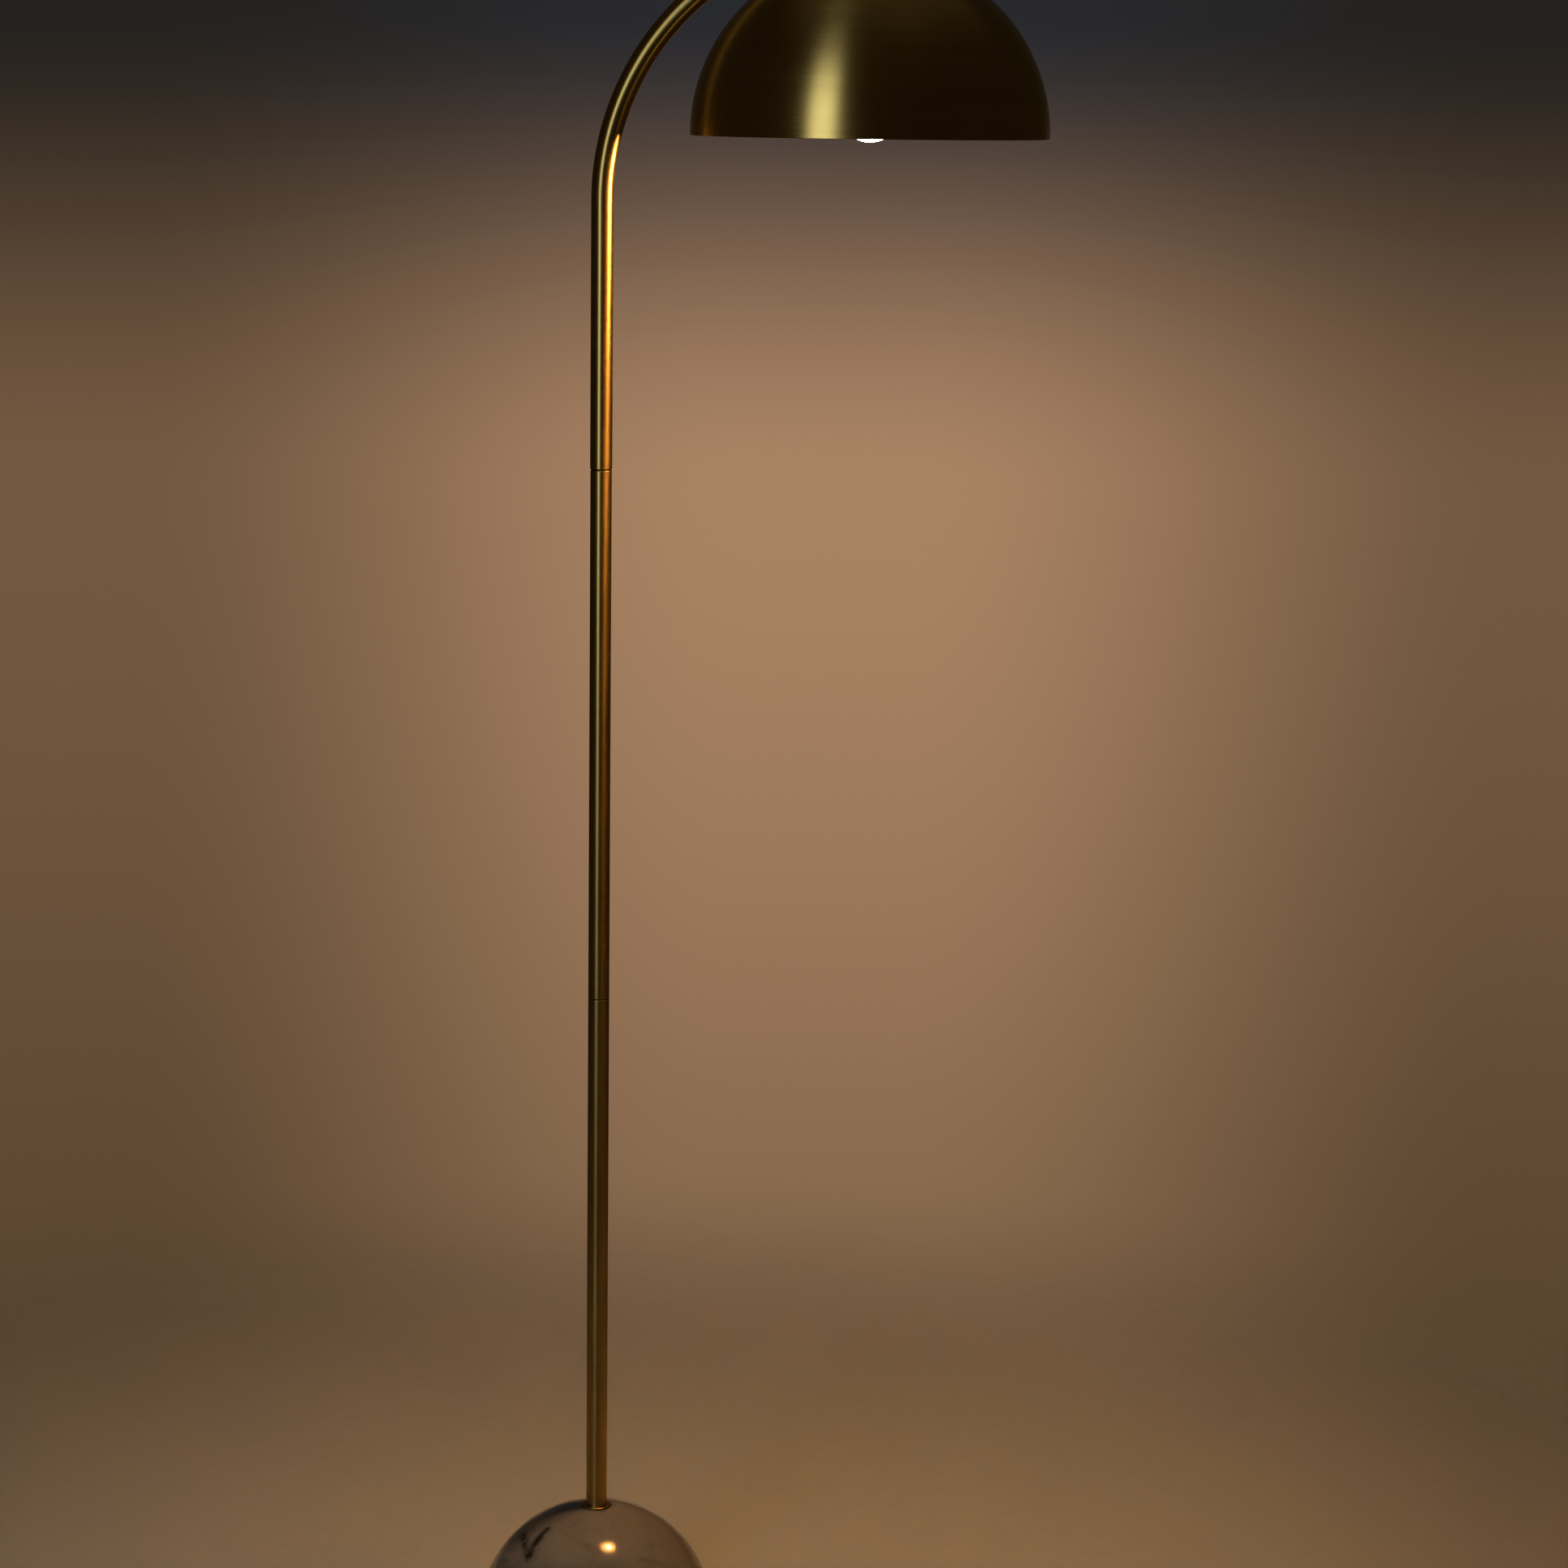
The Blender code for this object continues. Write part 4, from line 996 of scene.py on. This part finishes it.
key_at = middle("switch_shaft")
key_hole = rod(0.0025, 0.017, (PIVOT.x, -0.0135, key_at.z), ALONG_Y, 32)
low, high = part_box("socket_shell")
tall, inside, outside, swell = high.z - low.z, 0.0165, 0.0170, 0.0173
outline = [(inside, 0), (swell, 0), (swell, 0.0010), (outside, 0.0014)]
for bead in (0.012, 0.027):
    outline += [(outside, bead), (swell, bead + 0.0008), (outside, bead + 0.0016)]
outline += [(outside, tall), (inside, tall)]
shell = turned_mesh(outline, turned_brass, axis_spot(low.z), soft=0.0005)
shell = carve(shell, (CUT, key_hole))
piece("holder_shell", shell, "shade", "brass", turned_brass, "socket_shell")


def sleeve(inside, outside, node, finish, soft):
    """A plain tube as tall as its node, with its place on the shade's axis."""
    low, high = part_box(node)
    tall = high.z - low.z
    outline = [(inside, 0), (outside, 0), (outside, tall), (inside, tall)]
    return turned_mesh(outline, finish, axis_spot(low.z), soft=soft)


liner = sleeve(0.0154, 0.0160, "socket_liner", fibre, 0.0002)
liner = carve(liner, (CUT, key_hole))
piece("holder_liner", liner, "shade", "fibre", fibre, "socket_liner")
washer = sleeve(PIPE_HOLE, 0.0110, "shade_washer", zinc, 0.0003)
piece("crown_washer", washer, "shade", "steel", zinc, "shade_washer")
spacer = sleeve(PIPE_HOLE, 0.0070, "nipple_spacer", turned_brass, 0.0003)
piece("crown_spacer", spacer, "shade", "brass", turned_brass, "nipple_spacer")
print("lampholder made")

# %% [markdown]
# ## The turn key
# A flat moulded thumb piece on a steel shaft. Its two broad faces have fine ribs for grip. The ribs
# are one short bar that Geometry Nodes repeats along a line on each face.

# %% Build the rib tree and the key
sizes = {"Count": ("Int", 7), "Start": ("Vector", None), "Step": ("Vector", None)}
sizes["Finish"] = ("Material", None)
ribber, given = new_tree("ribs_in_a_row", sizes)
inputs = {"Count": given["Count"], "Start Location": given["Start"], "Offset": given["Step"]}
row = ribber.add("GeometryNodeMeshLine", None, inputs)
inputs = {"Points": row, "Instance": given["Geometry"]}
copies = ribber.add("GeometryNodeInstanceOnPoints", None, inputs)
close_tree(ribber, copies, given["Finish"])

knob_mid, knob_half = middle("switch_knob"), half("switch_knob")
rib, shaft_hole, rib_gap = 0.00035, 0.0023, 0.0011
body = block((knob_half.x * 2, knob_half.y * 2, (knob_half.z - rib) * 2), knob_mid)
hole = rod(shaft_hole, 0.010, (knob_mid.x, -0.0245, knob_mid.z), ALONG_Y, 32)
waist = carve(bevelled(body, 0.0016, 5), (CUT, hole))
ribs = []
for side in (-1, 1):
    for wing in (-1, 1):
        bar = rod(rib, knob_half.y * 1.4, (0, 0, 0), ALONG_Y, 10)
        z = knob_mid.z + side * (knob_half.z - rib)
        first = Vector((knob_mid.x + wing * 0.0022, knob_mid.y, z))
        step = Vector((wing * rib_gap, 0, 0))
        row = run_tree(ribber, bar, Count=4, Start=first, Step=step, Finish=phenolic)
        row.shade_smooth()
        ribs.append(row)


def gathered(meshes):
    """Several meshes as one."""
    work = bmesh.new()
    for mesh in meshes:
        work.from_mesh(mesh)
    return written(work)


piece("turn_key", gathered([waist] + ribs), "switch_key", "phenolic", phenolic, "switch_knob")
low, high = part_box("switch_shaft")
tall = high.y - low.y
shaft_at = (PIVOT.x, high.y, key_at.z)
outline = [(0, 0.0001), (0.00195, 0.0001), (0.00195, tall - 0.0005), (0.0015, tall), (0, tall)]
owner = ("switch_key", "steel", zinc, "switch_shaft")
turned_piece("key_shaft", outline, *owner, shaft_at, ALONG_Y, 48, 0.0002)
print("turn key made")

# %% [markdown]
# ## The bulb
# A pear-shaped envelope: a half ball, then a slow cosine curve down to the neck. Inside stand a glass
# stem and one loop of coiled wire that rises and falls four times on its way round.

# %% Blow the bulb
tip_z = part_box("bulb_glass")[0].z
bulb_radius, neck, glass_wall, neck_z = half("bulb_glass").x, 0.0122, 0.0008, 0.080


def pear(inset):
    """The envelope's outline from its tip to its neck, drawn in by the inset."""
    radius, points = bulb_radius - inset, []
    for k in range(25):
        swing = QUARTER * k / 24
        points.append((radius * math.sin(swing), bulb_radius - radius * math.cos(swing)))
    for k in range(1, 31):
        share = k / 30
        wide = neck - inset + (bulb_radius - neck) * (1 + math.cos(math.pi * share)) / 2
        points.append((wide, bulb_radius + (neck_z - bulb_radius) * share))
    return points + [(neck - inset, 0.0845)]


outline = pear(glass_wall) + list(reversed(pear(0.0)))
tip = axis_spot(tip_z)
turned_piece("bulb_envelope", outline, "bulb", "bulb_glass", bulb_glass, "bulb_glass", tip, soft=0.0002)
outline = [(0, 0.0930), (0.0100, 0.0930), (0.0085, 0.0880), (0.0040, 0.0780), (0.0030, 0.0620)]
outline += [(0.0036, 0.0590), (0, 0.0580)]
owner = ("bulb", "stem_glass", stem_glass, "bulb_stem")
turned_piece("bulb_glass_stem", outline, *owner, tip, segments=48, soft=0.0012)

cage, cage_mid, swing_z, lobes, coils, per_coil = 0.010, 0.042, 0.013, 4, 110, 8
coil_radius, wire_radius = 0.00036, 0.00013


def loop_point(share):
    a = 0.97 * TURN * share
    z = tip_z + cage_mid + swing_z * math.sin(lobes * a)
    return Vector((PIVOT.x + cage * math.cos(a), cage * math.sin(a), z))


points = []
for i in range(coils * per_coil + 1):
    share = i / (coils * per_coil)
    spot, ahead = loop_point(share), loop_point(share + 0.0005)
    forward = (ahead - spot).normalized()
    sideways = forward.cross(Vector((spot.x - PIVOT.x, spot.y, 0.0))).normalized()
    outward = sideways.cross(forward)
    spin = TURN * i / per_coil
    points.append(spot + coil_radius * (math.cos(spin) * sideways + math.sin(spin) * outward))
thin = {"Radius": wire_radius, "Wall": wire_radius * 0.8, "Lip": wire_radius * 0.4}
mesh = run_tree(tuber, path_mesh(points), Around=6, Finish=filament, **thin)
piece("glowing_wire", mesh, "bulb", "filament", filament, "bulb_filament")
print("bulb made, wire of", len(points), "points")

# %% [markdown]
# ## The parts that stay as they are
# What is hidden inside the tubes, the stone and the lampholder keeps its own mesh and only gets its
# finish.

# %% Dress the remaining CAD nodes
finish_of = {"brass": plain_brass, "steel": zinc, "nickel": nickel, "nylon": nylon, "lead": sheath}
finish_of.update({"fibre": fibre, "phenolic": phenolic, "rubber": rubber})
dressed = 0
for row in frame["record"]["subparts"]:
    node = frame["nodes"][row["node"]]
    if node.hide_render:
        continue
    node.data.materials.clear()
    node.data.materials.append(finish_of[row["material_slot"]])
    dressed += 1
print("dressed", dressed, "hidden nodes,", len(pieces_made), "pieces made")

# %% [markdown]
# ## Floor, air and lights
# A pale paper floor fades out into the air round it, so that no edge or horizon shows. The air is dark
# in front of the lamp. Behind it lies a pool of warm light that is brightest at the height of the
# base, as on a wall low down in a dim room, and above that the air is a cool dark grey.

# %% Lay the floor
air = bpy.data.worlds.new("air")
scene.world = air
scene.view_settings.view_transform = "Standard"
scene.view_settings.look = "Medium High Contrast"
air.use_nodes = True
sky = Board(air.node_tree)
across, ahead, up = sky.parts(sky.add("ShaderNodeTexCoord", None, None, "Generated"))
AIR_DARK, AIR_HIGH = (0.021, 0.015, 0.006), (0.030, 0.031, 0.036)
AIR_WARM, AIR_LOW = (0.36, 0.222, 0.133), (0.20, 0.125, 0.070)
lit = sky.blend(up.ease(-0.36, -0.08), AIR_LOW, AIR_WARM)
wall = sky.blend(1 - up.ease(-0.10, 0.02), AIR_HIGH, lit)
pool = 1 - 0.55 * (across + 0.03).size().ease(0.02, 0.17)
behind = pool * (1 - across.size().ease(0.22, 0.50)) * ahead.ease(0.1, 0.5)
tint = sky.blend(behind, AIR_DARK, wall)
sky.feed(air.node_tree.nodes["Background"].inputs["Color"], tint)

paper = Finish("floor_paper", roughness=0.7)
spot = paper.place()
spot_x, spot_y, _ = paper.parts(spot)
spot_y = spot_y.most(0.0) + 2.6 * spot_y.least(0.0)
far = (spot_x * spot_x + spot_y * spot_y).root()
fleck = paper.noise(spot, 60.0, 5.0, 0.6)
paper.wire(
    base_color=paper.blend(fleck, (0.78, 0.77, 0.76), (0.84, 0.83, 0.82)),
    alpha=1 - far.ease(0.4, 1.7),
    normal=paper.bump(fleck, 0.1, 0.001),
)
floor_mesh = bpy.data.meshes.new("floor")
spread, floor_z = 3.0, FLOOR_Z - 0.0002
corners = [(-spread, -spread), (spread, -spread), (spread, spread), (-spread, spread)]
floor_mesh.from_pydata([(x, y, floor_z) for x, y in corners], [], [(0, 1, 2, 3)])
floor = link("floor", floor_mesh)
floor_mesh.materials.append(paper.material)
floor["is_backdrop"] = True
print("floor laid")


# %% [markdown]
# ## The lights
# One tall soft light stands in front to the left, which gives the long lights on the brass. A wide
# and weak one hangs above. The lamp's own bulb does the rest, and its light rides with the bulb.


# %% Hang the lights
def light(name, kind, place, power, color):
    data = bpy.data.lights.new(name, kind)
    data.energy, data.color = power, color
    lamp = link(name, data)
    lamp.location = place
    return lamp


def soft_light(name, place, target, size, size_y, power, color):
    lamp = light(name, "AREA", place, power, color)
    lamp.data.shape = "RECTANGLE"
    lamp.data.size, lamp.data.size_y = size, size_y
    aim = Vector(target) - Vector(place)
    lamp.rotation_euler = aim.to_track_quat("-Z", "Y").to_euler()


COOL, WARM = (0.83, 0.94, 1.0), (1.0, 0.86, 0.70)
soft_light("tall_light", (-0.65, -1.66, 1.74), (0.12, 0, 1.74), 0.54, 2.0, 6.4, COOL)
soft_light("top_light", (0.3, 0.6, 3.4), (0.1, 0, 0.8), 2.4, 2.4, 0.8, WARM)
bulb_light = light("bulb_light", "POINT", axis_spot(tip_z + bulb_radius), 25.0, (1.0, 0.62, 0.28))
bulb_light.data.shadow_soft_size = 0.027
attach(bulb_light, "bulb")
print("lights hung")

# %% [markdown]
# ## The size
# The box of the finished model is set against that of the loaded one, and how far each side grew is
# printed.

# %% Print how much the size grew
low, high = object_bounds()
before, after = (*cad_low, *cad_high), (*low, *high)
print("grown by", [round(1000 * (a - b), 3) for a, b in zip(after, before)], "mm")
